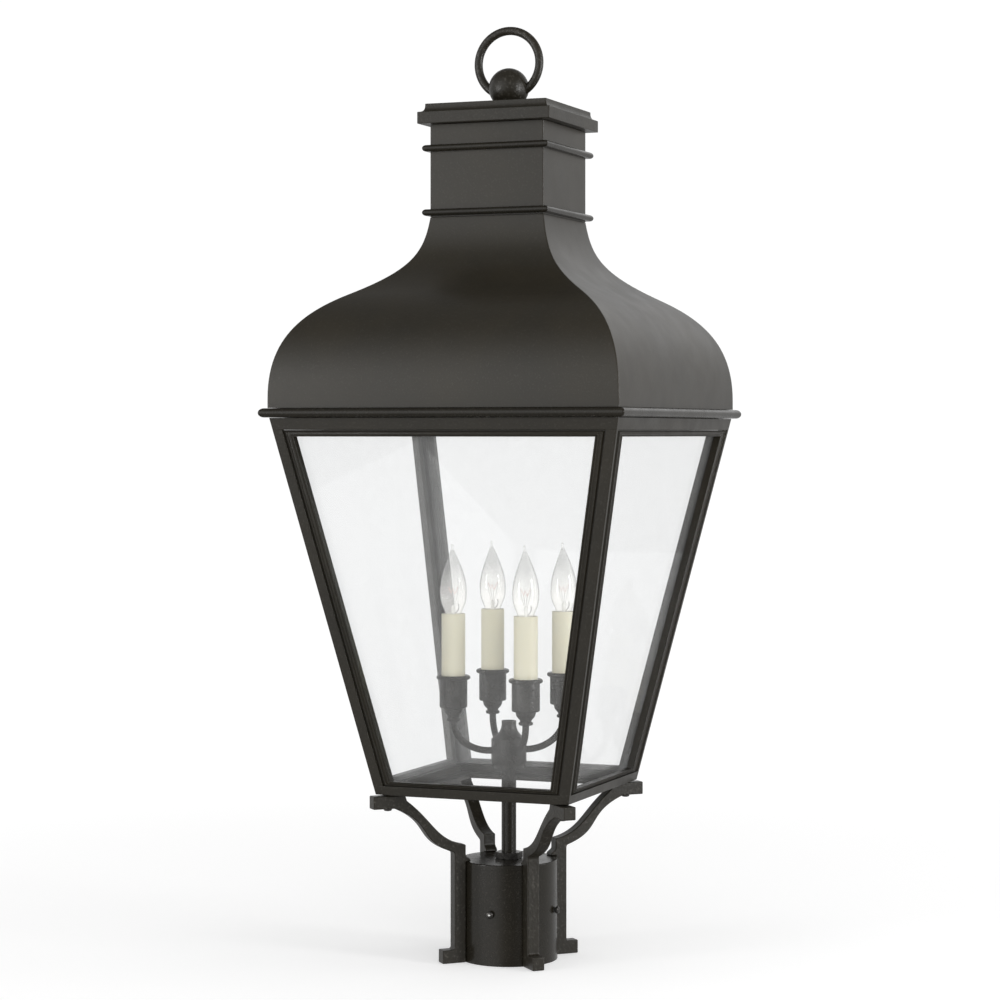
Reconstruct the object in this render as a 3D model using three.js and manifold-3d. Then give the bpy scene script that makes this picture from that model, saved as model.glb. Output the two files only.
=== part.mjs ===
// A four-light post lantern: ogee roof with chimney, cap and lifting ring, a tapered glazed
// body, a four-arm candle cluster, and four scrolled legs on a round post fitter.
//
// Millimetres, +Z up. The origin is the centre of the fitter's lower end, where the legs' feet
// are level with it. The front pane faces -Y and the right pane faces +X.

import * as THREE from 'three';
import { mergeVertices } from 'three/addons/utils/BufferGeometryUtils.js';
import Module from 'manifold-3d';

const wasm = await Module();
wasm.setup();

// ---------------------------------------------------------------- driving dimensions

const GAP = 0.3;                     // clearance between pieces that touch

// Tapered glazed body. Its outer half-width grows with height.
const BODY_BOTTOM_Z = 161.4;         // underside of the bottom frame
const RAIL_BOTTOM_Z = 162.6;         // lower edge of the bottom rail's outer face
const BODY_TOP_Z = 514;
const BODY_BOTTOM_HALF = 95.7;
const BODY_TAPER = 0.21;
const BOTTOM_RAIL_TOP_Z = 171;
const TOP_RAIL_BOTTOM_Z = 503;
const POST_FLAT = 10;                // width of a corner post's flat on the front and the back
const POST_SIDE_FLAT = 4;            // on the sides, where a rebate takes the rest of the post
const POST_REBATE = 1.8;
const POST_WALL = 4;
const MOULDING_WIDTH = 9.5;          // upright sides of a glazing frame
const MOULDING_FOOT = 4.6;           // its bottom member
const MOULDING_HEAD = 6.3;           // its top member
const MOULDING_SET_BACK = 0.4;
const MOULDING_DEPTH = 7.1;
const GLASS_THICKNESS = 2.5;
const BOTTOM_RAIL_INNER_HALF = 84;
const FLANGE_THICKNESS = 2;          // floor flange that runs in from the bottom rail
const FLANGE_OUTER_HALF = 91;
const FLANGE_OPENING_HALF = 68;
const FLANGE_LIP_Z = 159.6;          // lower edge of the lip round the floor opening
const TOP_OPENING_HALF = 152;

// Roof, chimney and cap, as half-widths and heights.
const SHEET = 1.6;
const EAVE_HALF = 177.8;
const EAVE_TOP_Z = 522.8;
const ROOF_EAVE_HALF = 171;
const ROOF_SPRING_Z = 532;
const ROOF_TURN_HALF = 114.8;        // where the ogee changes from convex to concave
const ROOF_TURN_Z = 629.2;
const ROOF_NECK_HALF = 57.3;
const ROOF_TOP_Z = 703;
const CHIMNEY_HALF = 57.2;
const CAP_Z = 790.8;
const CAP_HALF = 66.7;
const CAP_SLAB_TOP_Z = 802;
const CAP_TOP_HALF = 61;
const CAP_TOP_Z = 810;
const CAP_WELL_HALF = 55;
const CAP_WELL_Z = 805;
const BEAD_HALF = 63.3;
const BEAD_HEIGHT = 6.2;
const LOWER_BEAD_Z = 707.5;
const UPPER_BEAD_Z = 768;

// Finial.
const BALL_RADIUS = 19.2;
const BALL_Z = 828.7;
const RING_RADIUS = 31.1;            // to the middle of its wire
const RING_WIRE = 4;
const RING_Z = 852.4;
const BOLT_RADIUS = 3;
const BOLT_TOP_Z = 816.3;
const BOLT_HEAD_ACROSS = 10;
const BOLT_HEAD_HEIGHT = 4;

// Post fitter and legs.
const FITTER_RADIUS = 46.35;
const FITTER_BORE = 39.5;
const FITTER_TOP_Z = 94.8;
const FITTER_DISC = 4.8;
const FITTER_BOSS_Z = 88.4;          // underside of the disc's boss, which a post stops against
const LEG_THICKNESS = 11.8;
const LEG_INNER = FITTER_RADIUS + GAP;
const LEG_OUTER = 58;
const FOOT_OUTER = 70;
const FOOT_HEIGHT = 12.6;
const FILLET = 2;                    // where a leg's upright meets its foot
const LEG_BEND_Z = 102;              // where the upright's outer side turns outward
const LEG_CROWN_Z = 111.2;           // top of the upright's inner side
const PAD_OUTER = 139.6;
const PAD_INNER = 108;
const PAD_INNER_BOTTOM = 118.5;      // where the scroll runs into the pad's underside
const PAD_BOTTOM_Z = 149;
const LUG_HEIGHT = 7.5;              // lug that hooks over the fitter's top
const LUG_REACH = 5.2;
const LEG_SCREW_FROM_AXIS = 123.4;
const LEG_SCREW_RADIUS = 2;
const LEG_SCREW_TOP_Z = 168;
const SET_SCREW_Z = 48.5;
const SET_SCREW_RADIUS = 2.5;
const SET_SCREW_HEAD_RADIUS = 3.5;
const SET_SCREW_HEAD = 3;
const SET_SCREW_TIP = 39.7;
const SET_SCREW_HEAD_START = 48.25;

// Candle cluster.
const STEM_RADIUS = 7;
const STEM_BORE = 5;
const STEM_TOP_Z = 186;
const NUT_CORNER_RADIUS = 13.2;
const NUT_HEIGHT = 6;
const HUB_RADIUS = 16.8;
const HUB_BOTTOM_Z = 181;
const HUB_SHOULDER_Z = 208.7;
const HUB_NECK_RADIUS = 6.95;
const HUB_TOP_Z = 226;
const HUB_WALL = 1.8;
const ARM_RADIUS = 3.2;
const ARM_BORE = 2;
const ARM_Z = 198;
const CANDLE_RADIUS = 54.9;          // from the stem's axis to a candle's axis
const CLUSTER_TURN = 6.7;            // degrees by which the cluster stands off the diagonals
const CUP_Z = 227;
const CUP_LIP_Z = 270.6;
const SLEEVE_RADIUS = 11.3;
const SLEEVE_WALL = 1.1;
const SLEEVE_TOP_Z = 329;
const SLEEVE_BOTTOM_Z = 243.4;
const SOCKET_RADIUS = 8.4;
const SOCKET_BORE = 6.6;
const SOCKET_BOTTOM_Z = 284;
const SOCKET_FLOOR = 4;
const SOCKET_TOP_Z = 311;
const BULB_BASE_RADIUS = 5.95;
const BULB_BASE_Z = 289;
const BULB_TOP_Z = 395.2;
const BULB_RADIUS = 12.65;
const BULB_WAIST_Z = 350;            // height of the bulb's widest point
const BULB_TIP_RADIUS = 1.2;
const BULB_TIP_LEAN = 1.4;

const ROUND_SIDES = 32;              // sides of the larger turned pieces
const SMALL_SIDES = 16;              // sides of the smaller ones

const degrees = (value) => value * Math.PI / 180;
const bodyHalfAt = (z) => BODY_BOTTOM_HALF + BODY_TAPER * (z - BODY_BOTTOM_Z);

// ---------------------------------------------------------------- materials

const steel = (color, roughness) => new THREE.MeshStandardMaterial({ color, roughness, metalness: 0.6 });
const MATERIALS = {
  bronze: () => steel(0x3b3935, 0.55),
  screw: () => steel(0x2f2e2c, 0.4),
  glass: () => new THREE.MeshStandardMaterial({
    color: 0xf2f5f5, roughness: 0.03, metalness: 0, transparent: true, opacity: 0.25,
  }),
  ivory: () => new THREE.MeshStandardMaterial({ color: 0xd8d0b4, roughness: 0.5, metalness: 0 }),
  porcelain: () => new THREE.MeshStandardMaterial({ color: 0xe6e2d8, roughness: 0.35, metalness: 0 }),
};

const lantern = new THREE.Group();

function addPiece(name, geometry, finish) {
  const mesh = new THREE.Mesh(geometry, MATERIALS[finish]());
  mesh.name = name;
  lantern.add(mesh);
  return mesh;
}

// ---------------------------------------------------------------- geometry helpers

// A closed geometry as a manifold-3d solid.
function toSolid(geometry) {
  const bare = geometry.clone();
  bare.deleteAttribute('normal');
  bare.deleteAttribute('uv');
  const merged = mergeVertices(bare, 1e-4);
  return new wasm.Manifold(new wasm.Mesh({
    numProp: 3,
    vertProperties: new Float32Array(merged.attributes.position.array),
    triVerts: new Uint32Array(merged.index.array),
  }));
}

function toGeometry(solid) {
  const mesh = solid.getMesh();
  const geometry = new THREE.BufferGeometry();
  geometry.setAttribute('position', new THREE.BufferAttribute(mesh.vertProperties, 3));
  geometry.setIndex(new THREE.BufferAttribute(mesh.triVerts, 1));
  geometry.computeVertexNormals();
  return geometry;
}

function cut(geometry, ...tools) {
  return toGeometry(tools.reduce((solid, tool) => solid.subtract(toSolid(tool)), toSolid(geometry)));
}

const toPoints = (pairs) => pairs.map(([radius, z]) => new THREE.Vector2(radius, z));

// A turned solid about Z. A profile that leaves the axis is closed on itself.
function turned(pairs, sides) {
  const points = toPoints(pairs);
  const onAxis = points[0].x === 0 && points[points.length - 1].x === 0;
  if (!onAxis) {
    points.push(points[0].clone());
  }
  return new THREE.LatheGeometry(points, sides).rotateX(Math.PI / 2);
}

// A square solid about Z, with flat faces on the X and Y axes. The profile gives half-widths.
function squareTurned(pairs) {
  const corners = pairs.map(([half, z]) => new THREE.Vector2(half * Math.SQRT2, z));
  const onAxis = corners[0].x === 0 && corners[corners.length - 1].x === 0;
  if (!onAxis) {
    corners.push(corners[0].clone());
  }
  return new THREE.LatheGeometry(corners, 4, Math.PI / 4).rotateX(Math.PI / 2);
}

function verticalCylinder(radius, bottom, top, sides = SMALL_SIDES) {
  return new THREE.CylinderGeometry(radius, radius, top - bottom, sides)
    .rotateX(Math.PI / 2)
    .translate(0, 0, (bottom + top) / 2);
}

// Slants a solid so that everything moves by (slopeX, slopeY) for each millimetre of height.
function lean(geometry, slopeX, slopeY) {
  const matrix = new THREE.Matrix4().set(
    1, 0, slopeX, -slopeX * BODY_BOTTOM_Z,
    0, 1, slopeY, -slopeY * BODY_BOTTOM_Z,
    0, 0, 1, 0,
    0, 0, 0, 1,
  );
  return geometry.applyMatrix4(matrix);
}

// The half-round outer edge of a moulding, from its lower to its upper corner.
function halfRound(inner, outer, z, height, steps = 6) {
  const radius = height / 2;
  const centre = outer - radius;
  const edge = [];
  for (let i = 0; i <= steps; i += 1) {
    const angle = Math.PI * (i / steps - 0.5);
    edge.push([centre + radius * Math.cos(angle), z + radius * Math.sin(angle)]);
  }
  return [[inner, z - radius], ...edge, [inner, z + radius]];
}

// ---------------------------------------------------------------- roof, chimney and cap

// The ogee: a convex lower curve and a concave upper one, meeting where the slope is steepest out.
function ogeePoints(steps) {
  const lower = new THREE.CubicBezierCurve(
    new THREE.Vector2(ROOF_EAVE_HALF, ROOF_SPRING_Z),
    new THREE.Vector2(ROOF_EAVE_HALF, ROOF_SPRING_Z + 54),
    new THREE.Vector2(ROOF_TURN_HALF + 33.4, ROOF_TURN_Z - 18.3),
    new THREE.Vector2(ROOF_TURN_HALF, ROOF_TURN_Z),
  );
  const upper = new THREE.CubicBezierCurve(
    new THREE.Vector2(ROOF_TURN_HALF, ROOF_TURN_Z),
    new THREE.Vector2(ROOF_TURN_HALF - 45.4, ROOF_TURN_Z + 24.9),
    new THREE.Vector2(ROOF_NECK_HALF + 4.7, ROOF_TOP_Z - 32.8),
    new THREE.Vector2(ROOF_NECK_HALF, ROOF_TOP_Z),
  );
  return [...lower.getPoints(steps), ...upper.getPoints(steps).slice(1)];
}

// The same line, moved inward by the sheet's thickness.
function offsetInward(points, distance) {
  return points.map((point, i) => {
    const before = points[Math.max(i - 1, 0)];
    const after = points[Math.min(i + 1, points.length - 1)];
    const along = after.clone().sub(before).normalize();
    return new THREE.Vector2(point.x - along.y * distance, point.y + along.x * distance);
  });
}

function addRoof() {
  const outer = ogeePoints(12);
  const inner = offsetInward(outer, SHEET);
  const eaveZ = EAVE_TOP_Z + GAP;
  const profile = [
    [ROOF_EAVE_HALF, eaveZ],
    ...outer.map((point) => [point.x, point.y]),
    ...inner.reverse().map((point) => [point.x, Math.min(point.y, ROOF_TOP_Z)]),
    [ROOF_EAVE_HALF - SHEET, eaveZ],
  ];
  addPiece('roof', squareTurned(profile), 'bronze');
}

function addChimneyAndCap() {
  const chimneyInner = CHIMNEY_HALF - SHEET;
  const chimneyBottom = ROOF_TOP_Z + GAP;
  const chimneyTop = CAP_Z - GAP;
  addPiece('chimney', squareTurned([
    [CHIMNEY_HALF, chimneyBottom],
    [CHIMNEY_HALF, chimneyTop],
    [chimneyInner, chimneyTop],
    [chimneyInner, chimneyBottom],
  ]), 'bronze');

  const beadInner = CHIMNEY_HALF + GAP;
  addPiece('lower_bead', squareTurned(halfRound(beadInner, BEAD_HALF, LOWER_BEAD_Z, BEAD_HEIGHT)), 'bronze');
  addPiece('upper_bead', squareTurned(halfRound(beadInner, BEAD_HALF, UPPER_BEAD_Z, BEAD_HEIGHT)), 'bronze');

  const ledge = CAP_HALF - 1.7;
  const cove = new THREE.QuadraticBezierCurve(
    new THREE.Vector2(ledge, CAP_SLAB_TOP_Z),
    new THREE.Vector2(CAP_TOP_HALF, CAP_SLAB_TOP_Z + 1.5),
    new THREE.Vector2(CAP_TOP_HALF, CAP_TOP_Z),
  ).getPoints(5).map((point) => [point.x, point.y]);
  const cap = squareTurned([
    [0, CAP_WELL_Z],
    [CAP_WELL_HALF, CAP_WELL_Z],
    [CAP_WELL_HALF, CAP_Z],
    [CAP_HALF, CAP_Z],
    [CAP_HALF, CAP_SLAB_TOP_Z],
    ...cove,
    [0, CAP_TOP_Z],
  ]);
  const boltHole = verticalCylinder(BOLT_RADIUS + GAP, CAP_WELL_Z - 1, CAP_TOP_Z + 1);
  addPiece('cap_plate', cut(cap, boltHole), 'bronze');

  const eaveHeight = EAVE_TOP_Z - BODY_TOP_Z - GAP;
  const eaveZ = EAVE_TOP_Z - eaveHeight / 2;
  addPiece('eave_bead', squareTurned(halfRound(TOP_OPENING_HALF, EAVE_HALF, eaveZ, eaveHeight)), 'bronze');
}

// ---------------------------------------------------------------- finial

function ringGeometry(wire) {
  return new THREE.TorusGeometry(RING_RADIUS, wire, 8, 36).rotateX(Math.PI / 2).translate(0, 0, RING_Z);
}

function addFinial() {
  addPiece('finial_ring', ringGeometry(RING_WIRE), 'bronze');

  const seatZ = CAP_TOP_Z + GAP;
  const startAngle = Math.asin((seatZ - BALL_Z) / BALL_RADIUS);
  const steps = 11;
  const arc = [];
  for (let i = 0; i < steps; i += 1) {
    const angle = startAngle + (Math.PI / 2 - startAngle) * (i / steps);
    arc.push([BALL_RADIUS * Math.cos(angle), BALL_Z + BALL_RADIUS * Math.sin(angle)]);
  }
  const ball = turned([[0, seatZ], ...arc, [0, BALL_Z + BALL_RADIUS]], 24);
  const boltHole = verticalCylinder(BOLT_RADIUS + GAP, seatZ - 1, BOLT_TOP_Z + GAP);
  addPiece('finial_ball', cut(ball, ringGeometry(RING_WIRE + GAP), boltHole), 'bronze');

  const headTop = CAP_WELL_Z - GAP;
  const headRadius = BOLT_HEAD_ACROSS / 2 / Math.cos(Math.PI / 6);
  const head = verticalCylinder(headRadius, headTop - BOLT_HEAD_HEIGHT, headTop, 6);
  const shank = verticalCylinder(BOLT_RADIUS, headTop - 1, BOLT_TOP_Z);
  addPiece('finial_bolt', toGeometry(toSolid(head).add(toSolid(shank))), 'screw');
}

// ---------------------------------------------------------------- glazed body

// A flat panel on the front face: an outline in (x, z), as thick as stated, set back from the
// body's outer surface and leaning with it. It is then turned to its own face.
function facePanel(shape, setBack, thickness, quarterTurns) {
  const panel = new THREE.ExtrudeGeometry(shape, { depth: thickness, bevelEnabled: false })
    .rotateX(Math.PI / 2)
    .translate(0, thickness + setBack - BODY_BOTTOM_HALF, 0);
  return lean(panel, 0, -BODY_TAPER).rotateZ(quarterTurns * Math.PI / 2);
}

// A symmetric trapezoid whose sides follow the body's taper, inset from its corners.
function trapezoid(bottom, top, inset) {
  const low = bodyHalfAt(bottom) - inset;
  const high = bodyHalfAt(top) - inset;
  return [
    new THREE.Vector2(-low, bottom),
    new THREE.Vector2(low, bottom),
    new THREE.Vector2(high, top),
    new THREE.Vector2(-high, top),
  ];
}

function addRails() {
  const flangeTop = BODY_BOTTOM_Z + FLANGE_THICKNESS;
  const bottomFrame = squareTurned([
    [FLANGE_OPENING_HALF, FLANGE_LIP_Z],
    [FLANGE_OPENING_HALF + SHEET, FLANGE_LIP_Z],
    [FLANGE_OPENING_HALF + SHEET, BODY_BOTTOM_Z],
    [FLANGE_OUTER_HALF, BODY_BOTTOM_Z],
    [FLANGE_OUTER_HALF, RAIL_BOTTOM_Z],
    [bodyHalfAt(RAIL_BOTTOM_Z), RAIL_BOTTOM_Z],
    [bodyHalfAt(BOTTOM_RAIL_TOP_Z), BOTTOM_RAIL_TOP_Z],
    [BOTTOM_RAIL_INNER_HALF, BOTTOM_RAIL_TOP_Z],
    [BOTTOM_RAIL_INNER_HALF, flangeTop],
    [FLANGE_OPENING_HALF, flangeTop],
  ]);
  const screwHoles = [0, 1, 2, 3].map((i) => {
    const hole = verticalCylinder(LEG_SCREW_RADIUS + GAP, PAD_BOTTOM_Z, LEG_SCREW_TOP_Z + GAP, 12);
    return hole.translate(LEG_SCREW_FROM_AXIS, 0, 0).rotateZ(degrees(45 + 90 * i));
  });
  addPiece('bottom_frame', cut(bottomFrame, ...screwHoles), 'bronze');

  addPiece('top_frame', squareTurned([
    [TOP_OPENING_HALF, TOP_RAIL_BOTTOM_Z],
    [bodyHalfAt(TOP_RAIL_BOTTOM_Z), TOP_RAIL_BOTTOM_Z],
    [bodyHalfAt(BODY_TOP_Z), BODY_TOP_Z],
    [TOP_OPENING_HALF, BODY_TOP_Z],
  ]), 'bronze');
}

function addCornerPosts() {
  const bottom = BOTTOM_RAIL_TOP_Z + GAP;
  const top = TOP_RAIL_BOTTOM_Z - GAP;
  const half = BODY_BOTTOM_HALF;
  // An angle whose rebated side looks along +Y; swapped about the diagonal it looks along +X.
  const rebatedOnY = [
    [half, half],
    [half - POST_SIDE_FLAT, half],
    [half - POST_SIDE_FLAT, half - POST_REBATE],
    [half - POST_FLAT, half - POST_REBATE],
    [half - POST_FLAT, half - POST_WALL],
    [half - POST_WALL, half - POST_WALL],
    [half - POST_WALL, half - POST_FLAT],
    [half, half - POST_FLAT],
  ];
  const rebatedOnX = rebatedOnY.map(([x, y]) => [y, x]).reverse();
  for (let i = 0; i < 4; i += 1) {
    const section = new THREE.Shape(toPoints(i % 2 === 0 ? rebatedOnY : rebatedOnX));
    const post = new THREE.ExtrudeGeometry(section, { depth: top - bottom, bevelEnabled: false })
      .translate(0, 0, bottom);
    lean(post, BODY_TAPER, BODY_TAPER).rotateZ(degrees(-90 + 90 * i));
    addPiece(`corner_post_${i + 1}`, post, 'bronze');
  }
}

function addGlazing() {
  const faces = ['front', 'right', 'back', 'left'];
  const frameBottom = BOTTOM_RAIL_TOP_Z + GAP;
  const frameTop = TOP_RAIL_BOTTOM_Z - GAP;
  const frameInset = POST_FLAT + GAP;
  const openingBottom = BOTTOM_RAIL_TOP_Z + MOULDING_FOOT;
  const openingTop = TOP_RAIL_BOTTOM_Z - MOULDING_HEAD;
  const glassSetBack = MOULDING_SET_BACK + MOULDING_DEPTH + GAP;
  const glassInset = glassSetBack + GLASS_THICKNESS + GAP;
  faces.forEach((face, quarterTurns) => {
    const frame = new THREE.Shape(trapezoid(frameBottom, frameTop, frameInset));
    frame.holes.push(new THREE.Path(trapezoid(openingBottom, openingTop, frameInset + MOULDING_WIDTH)));
    const frameGeometry = facePanel(frame, MOULDING_SET_BACK, MOULDING_DEPTH, quarterTurns);
    addPiece(`glazing_frame_${face}`, frameGeometry, 'bronze');
    const pane = new THREE.Shape(trapezoid(frameBottom, frameTop, glassInset));
    addPiece(`glass_${face}`, facePanel(pane, glassSetBack, GLASS_THICKNESS, quarterTurns), 'glass');
  });
}

// ---------------------------------------------------------------- fitter and legs

// The leg's outline, with the distance from the lantern's axis along x and the height along y.
function legShape() {
  const padTop = BODY_BOTTOM_Z - GAP;
  const lugZ = FITTER_TOP_Z + GAP;
  const shoulderX = LEG_OUTER + FILLET;
  const shoulderZ = LEG_BEND_Z + 2.9;
  const shape = new THREE.Shape();
  shape.moveTo(LEG_INNER, 0);
  shape.lineTo(FOOT_OUTER, 0);
  shape.lineTo(FOOT_OUTER, FOOT_HEIGHT);
  shape.lineTo(LEG_OUTER + FILLET, FOOT_HEIGHT);
  shape.quadraticCurveTo(LEG_OUTER, FOOT_HEIGHT, LEG_OUTER, FOOT_HEIGHT + FILLET);
  shape.lineTo(LEG_OUTER, LEG_BEND_Z);
  shape.quadraticCurveTo(LEG_OUTER, LEG_BEND_Z + 2.4, shoulderX, shoulderZ);
  shape.bezierCurveTo(
    shoulderX + 36.5, shoulderZ + 12.5,
    PAD_INNER_BOTTOM - 39.5, PAD_BOTTOM_Z - 15.5,
    PAD_INNER_BOTTOM, PAD_BOTTOM_Z,
  );
  shape.lineTo(PAD_OUTER, PAD_BOTTOM_Z);
  shape.lineTo(PAD_OUTER, padTop);
  shape.lineTo(PAD_INNER, padTop);
  shape.lineTo(PAD_INNER - 2, padTop - 5.5);
  shape.bezierCurveTo(
    PAD_INNER - 29.3, padTop - 26.3,
    LEG_INNER + 29.6, LEG_CROWN_Z + 5.5,
    LEG_INNER, LEG_CROWN_Z,
  );
  shape.lineTo(LEG_INNER, FITTER_TOP_Z + LUG_HEIGHT);
  shape.bezierCurveTo(
    LEG_INNER, FITTER_TOP_Z + LUG_HEIGHT / 2,
    LEG_INNER - LUG_REACH, FITTER_TOP_Z + LUG_HEIGHT * 0.6,
    LEG_INNER - LUG_REACH, lugZ,
  );
  shape.lineTo(LEG_INNER, lugZ);
  return shape;
}

function addLegs() {
  for (let i = 0; i < 4; i += 1) {
    const turn = degrees(-45 + 90 * i);
    const bar = new THREE.ExtrudeGeometry(legShape(), {
      depth: LEG_THICKNESS, bevelEnabled: false, curveSegments: 12,
    }).translate(0, 0, -LEG_THICKNESS / 2).rotateX(Math.PI / 2);
    const screwHole = verticalCylinder(LEG_SCREW_RADIUS + GAP, PAD_BOTTOM_Z - 5, BODY_BOTTOM_Z + 1, 12)
      .translate(LEG_SCREW_FROM_AXIS, 0, 0);
    addPiece(`leg_${i + 1}`, cut(bar, screwHole).rotateZ(turn), 'bronze');

    const headTop = PAD_BOTTOM_Z - GAP;
    const screw = turned([
      [0, headTop - 2.2],
      [2.6, headTop - 2],
      [3.7, headTop - 1.2],
      [3.9, headTop],
      [LEG_SCREW_RADIUS, headTop],
      [LEG_SCREW_RADIUS, LEG_SCREW_TOP_Z],
      [0, LEG_SCREW_TOP_Z],
    ], 12).translate(LEG_SCREW_FROM_AXIS, 0, 0);
    addPiece(`leg_screw_${i + 1}`, screw.rotateZ(turn), 'screw');
  }
}

// A solid made upright about Z, laid down so that its +Z points out along -Y at the set screws'
// height, then turned by quarter turns.
function layOut(geometry, quarterTurns) {
  return geometry.rotateX(Math.PI / 2).translate(0, 0, SET_SCREW_Z).rotateZ(quarterTurns * Math.PI / 2);
}

function addFitter() {
  const tubeTop = FITTER_TOP_Z - FITTER_DISC - GAP;
  const tube = turned([
    [FITTER_BORE, 0],
    [FITTER_RADIUS, 0],
    [FITTER_RADIUS, tubeTop],
    [FITTER_BORE, tubeTop],
  ], ROUND_SIDES);
  const holes = [0, 1, 2, 3].map((quarterTurns) => {
    const drill = verticalCylinder(SET_SCREW_RADIUS + GAP, FITTER_BORE - 5, FITTER_RADIUS + 5, 12);
    return layOut(drill, quarterTurns);
  });
  addPiece('fitter_tube', cut(tube, ...holes), 'bronze');

  addPiece('fitter_top', turned([
    [STEM_RADIUS + GAP, FITTER_BOSS_Z],
    [FITTER_BORE - GAP, FITTER_BOSS_Z],
    [FITTER_BORE - GAP, FITTER_TOP_Z - FITTER_DISC],
    [FITTER_RADIUS, FITTER_TOP_Z - FITTER_DISC],
    [FITTER_RADIUS, FITTER_TOP_Z],
    [STEM_RADIUS + GAP, FITTER_TOP_Z],
  ], ROUND_SIDES), 'bronze');

  ['front', 'right', 'back', 'left'].forEach((side, quarterTurns) => {
    const headEnd = SET_SCREW_HEAD_START + SET_SCREW_HEAD;
    const screw = turned([
      [0, SET_SCREW_TIP],
      [SET_SCREW_RADIUS - 0.6, SET_SCREW_TIP],
      [SET_SCREW_RADIUS, SET_SCREW_TIP + 0.6],
      [SET_SCREW_RADIUS, SET_SCREW_HEAD_START],
      [SET_SCREW_HEAD_RADIUS, SET_SCREW_HEAD_START],
      [SET_SCREW_HEAD_RADIUS, headEnd - 1.2],
      [SET_SCREW_HEAD_RADIUS - 1, headEnd - 0.2],
      [0, headEnd],
    ], 12);
    addPiece(`set_screw_${side}`, layOut(screw, quarterTurns), 'screw');
  });
}

// ---------------------------------------------------------------- candle cluster

function addStem() {
  const bottom = FITTER_BOSS_Z + GAP;
  addPiece('stem_tube', turned([
    [STEM_BORE, bottom],
    [STEM_RADIUS, bottom],
    [STEM_RADIUS, STEM_TOP_Z],
    [STEM_BORE, STEM_TOP_Z],
  ], 24), 'bronze');

  const nutBottom = FITTER_TOP_Z + GAP;
  const nut = verticalCylinder(NUT_CORNER_RADIUS, nutBottom, nutBottom + NUT_HEIGHT, 6);
  const hole = verticalCylinder(STEM_RADIUS + GAP, nutBottom - 1, nutBottom + NUT_HEIGHT + 1, 24);
  addPiece('stem_nut', cut(nut, hole), 'screw');

  const shoulder = new THREE.CubicBezierCurve(
    new THREE.Vector2(HUB_RADIUS, HUB_SHOULDER_Z),
    new THREE.Vector2(HUB_RADIUS - 5, HUB_SHOULDER_Z + 3),
    new THREE.Vector2(HUB_NECK_RADIUS + 0.9, HUB_SHOULDER_Z + 6),
    new THREE.Vector2(HUB_NECK_RADIUS + 0.2, HUB_SHOULDER_Z + 12),
  ).getPoints(4).map((point) => [point.x, point.y]);
  const stemHole = STEM_RADIUS + GAP;
  const hub = turned([
    [stemHole, HUB_BOTTOM_Z],
    [HUB_RADIUS - 2, HUB_BOTTOM_Z],
    [HUB_RADIUS, HUB_BOTTOM_Z + 6],
    ...shoulder,
    [HUB_NECK_RADIUS, HUB_TOP_Z],
    [HUB_NECK_RADIUS - HUB_WALL, HUB_TOP_Z],
    [HUB_NECK_RADIUS - HUB_WALL, HUB_SHOULDER_Z + 8],
    [HUB_RADIUS - HUB_WALL, HUB_SHOULDER_Z - 1],
    [HUB_RADIUS - HUB_WALL, HUB_BOTTOM_Z + 6.5],
    [stemHole + 3, HUB_BOTTOM_Z + HUB_WALL],
    [stemHole, HUB_BOTTOM_Z + HUB_WALL],
  ], 20);
  const armHoles = [0, 1, 2, 3].map((i) => {
    const drill = verticalCylinder(ARM_RADIUS + GAP, HUB_RADIUS - 6, HUB_RADIUS + 5, 10);
    return drill.rotateY(Math.PI / 2).translate(0, 0, ARM_Z).rotateZ(candleAngle(i));
  });
  addPiece('cluster_body', cut(hub, ...armHoles), 'bronze');
}

// Direction of a candle from the stem, anticlockwise from +X. The first stands right of the front.
function candleAngle(i) {
  return degrees(-45 - CLUSTER_TURN + 90 * i);
}

function atCandle(geometry, i) {
  return geometry.translate(CANDLE_RADIUS, 0, 0).rotateZ(candleAngle(i));
}

// The arm's centre line in the XZ plane: level out of the hub, an elliptical bend, then upright.
function armPath() {
  const bendStart = HUB_RADIUS + 1;
  const bendTop = CUP_Z;
  const path = new THREE.CurvePath();
  const inner = new THREE.Vector3(HUB_RADIUS - 4, 0, ARM_Z);
  const bendFoot = new THREE.Vector3(bendStart, 0, ARM_Z);
  const bendHead = new THREE.Vector3(CANDLE_RADIUS, 0, bendTop);
  const roundness = 0.5523;
  const firstControl = bendFoot.clone();
  firstControl.x += roundness * (CANDLE_RADIUS - bendStart);
  const secondControl = bendHead.clone();
  secondControl.z -= roundness * (bendTop - ARM_Z);
  path.add(new THREE.LineCurve3(inner, bendFoot));
  path.add(new THREE.CubicBezierCurve3(bendFoot, firstControl, secondControl, bendHead));
  path.add(new THREE.LineCurve3(bendHead, new THREE.Vector3(CANDLE_RADIUS, 0, SOCKET_BOTTOM_Z - GAP)));
  return path;
}

function addArms() {
  const section = new THREE.Shape().absarc(0, 0, ARM_RADIUS, 0, 2 * Math.PI);
  section.holes.push(new THREE.Path().absarc(0, 0, ARM_BORE, 0, 2 * Math.PI));
  for (let i = 0; i < 4; i += 1) {
    const tube = new THREE.ExtrudeGeometry(section, {
      steps: 15, curveSegments: 4, bevelEnabled: false, extrudePath: armPath(),
    });
    addPiece(`arm_${i + 1}`, tube.rotateZ(candleAngle(i)), 'bronze');
  }
}

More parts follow.
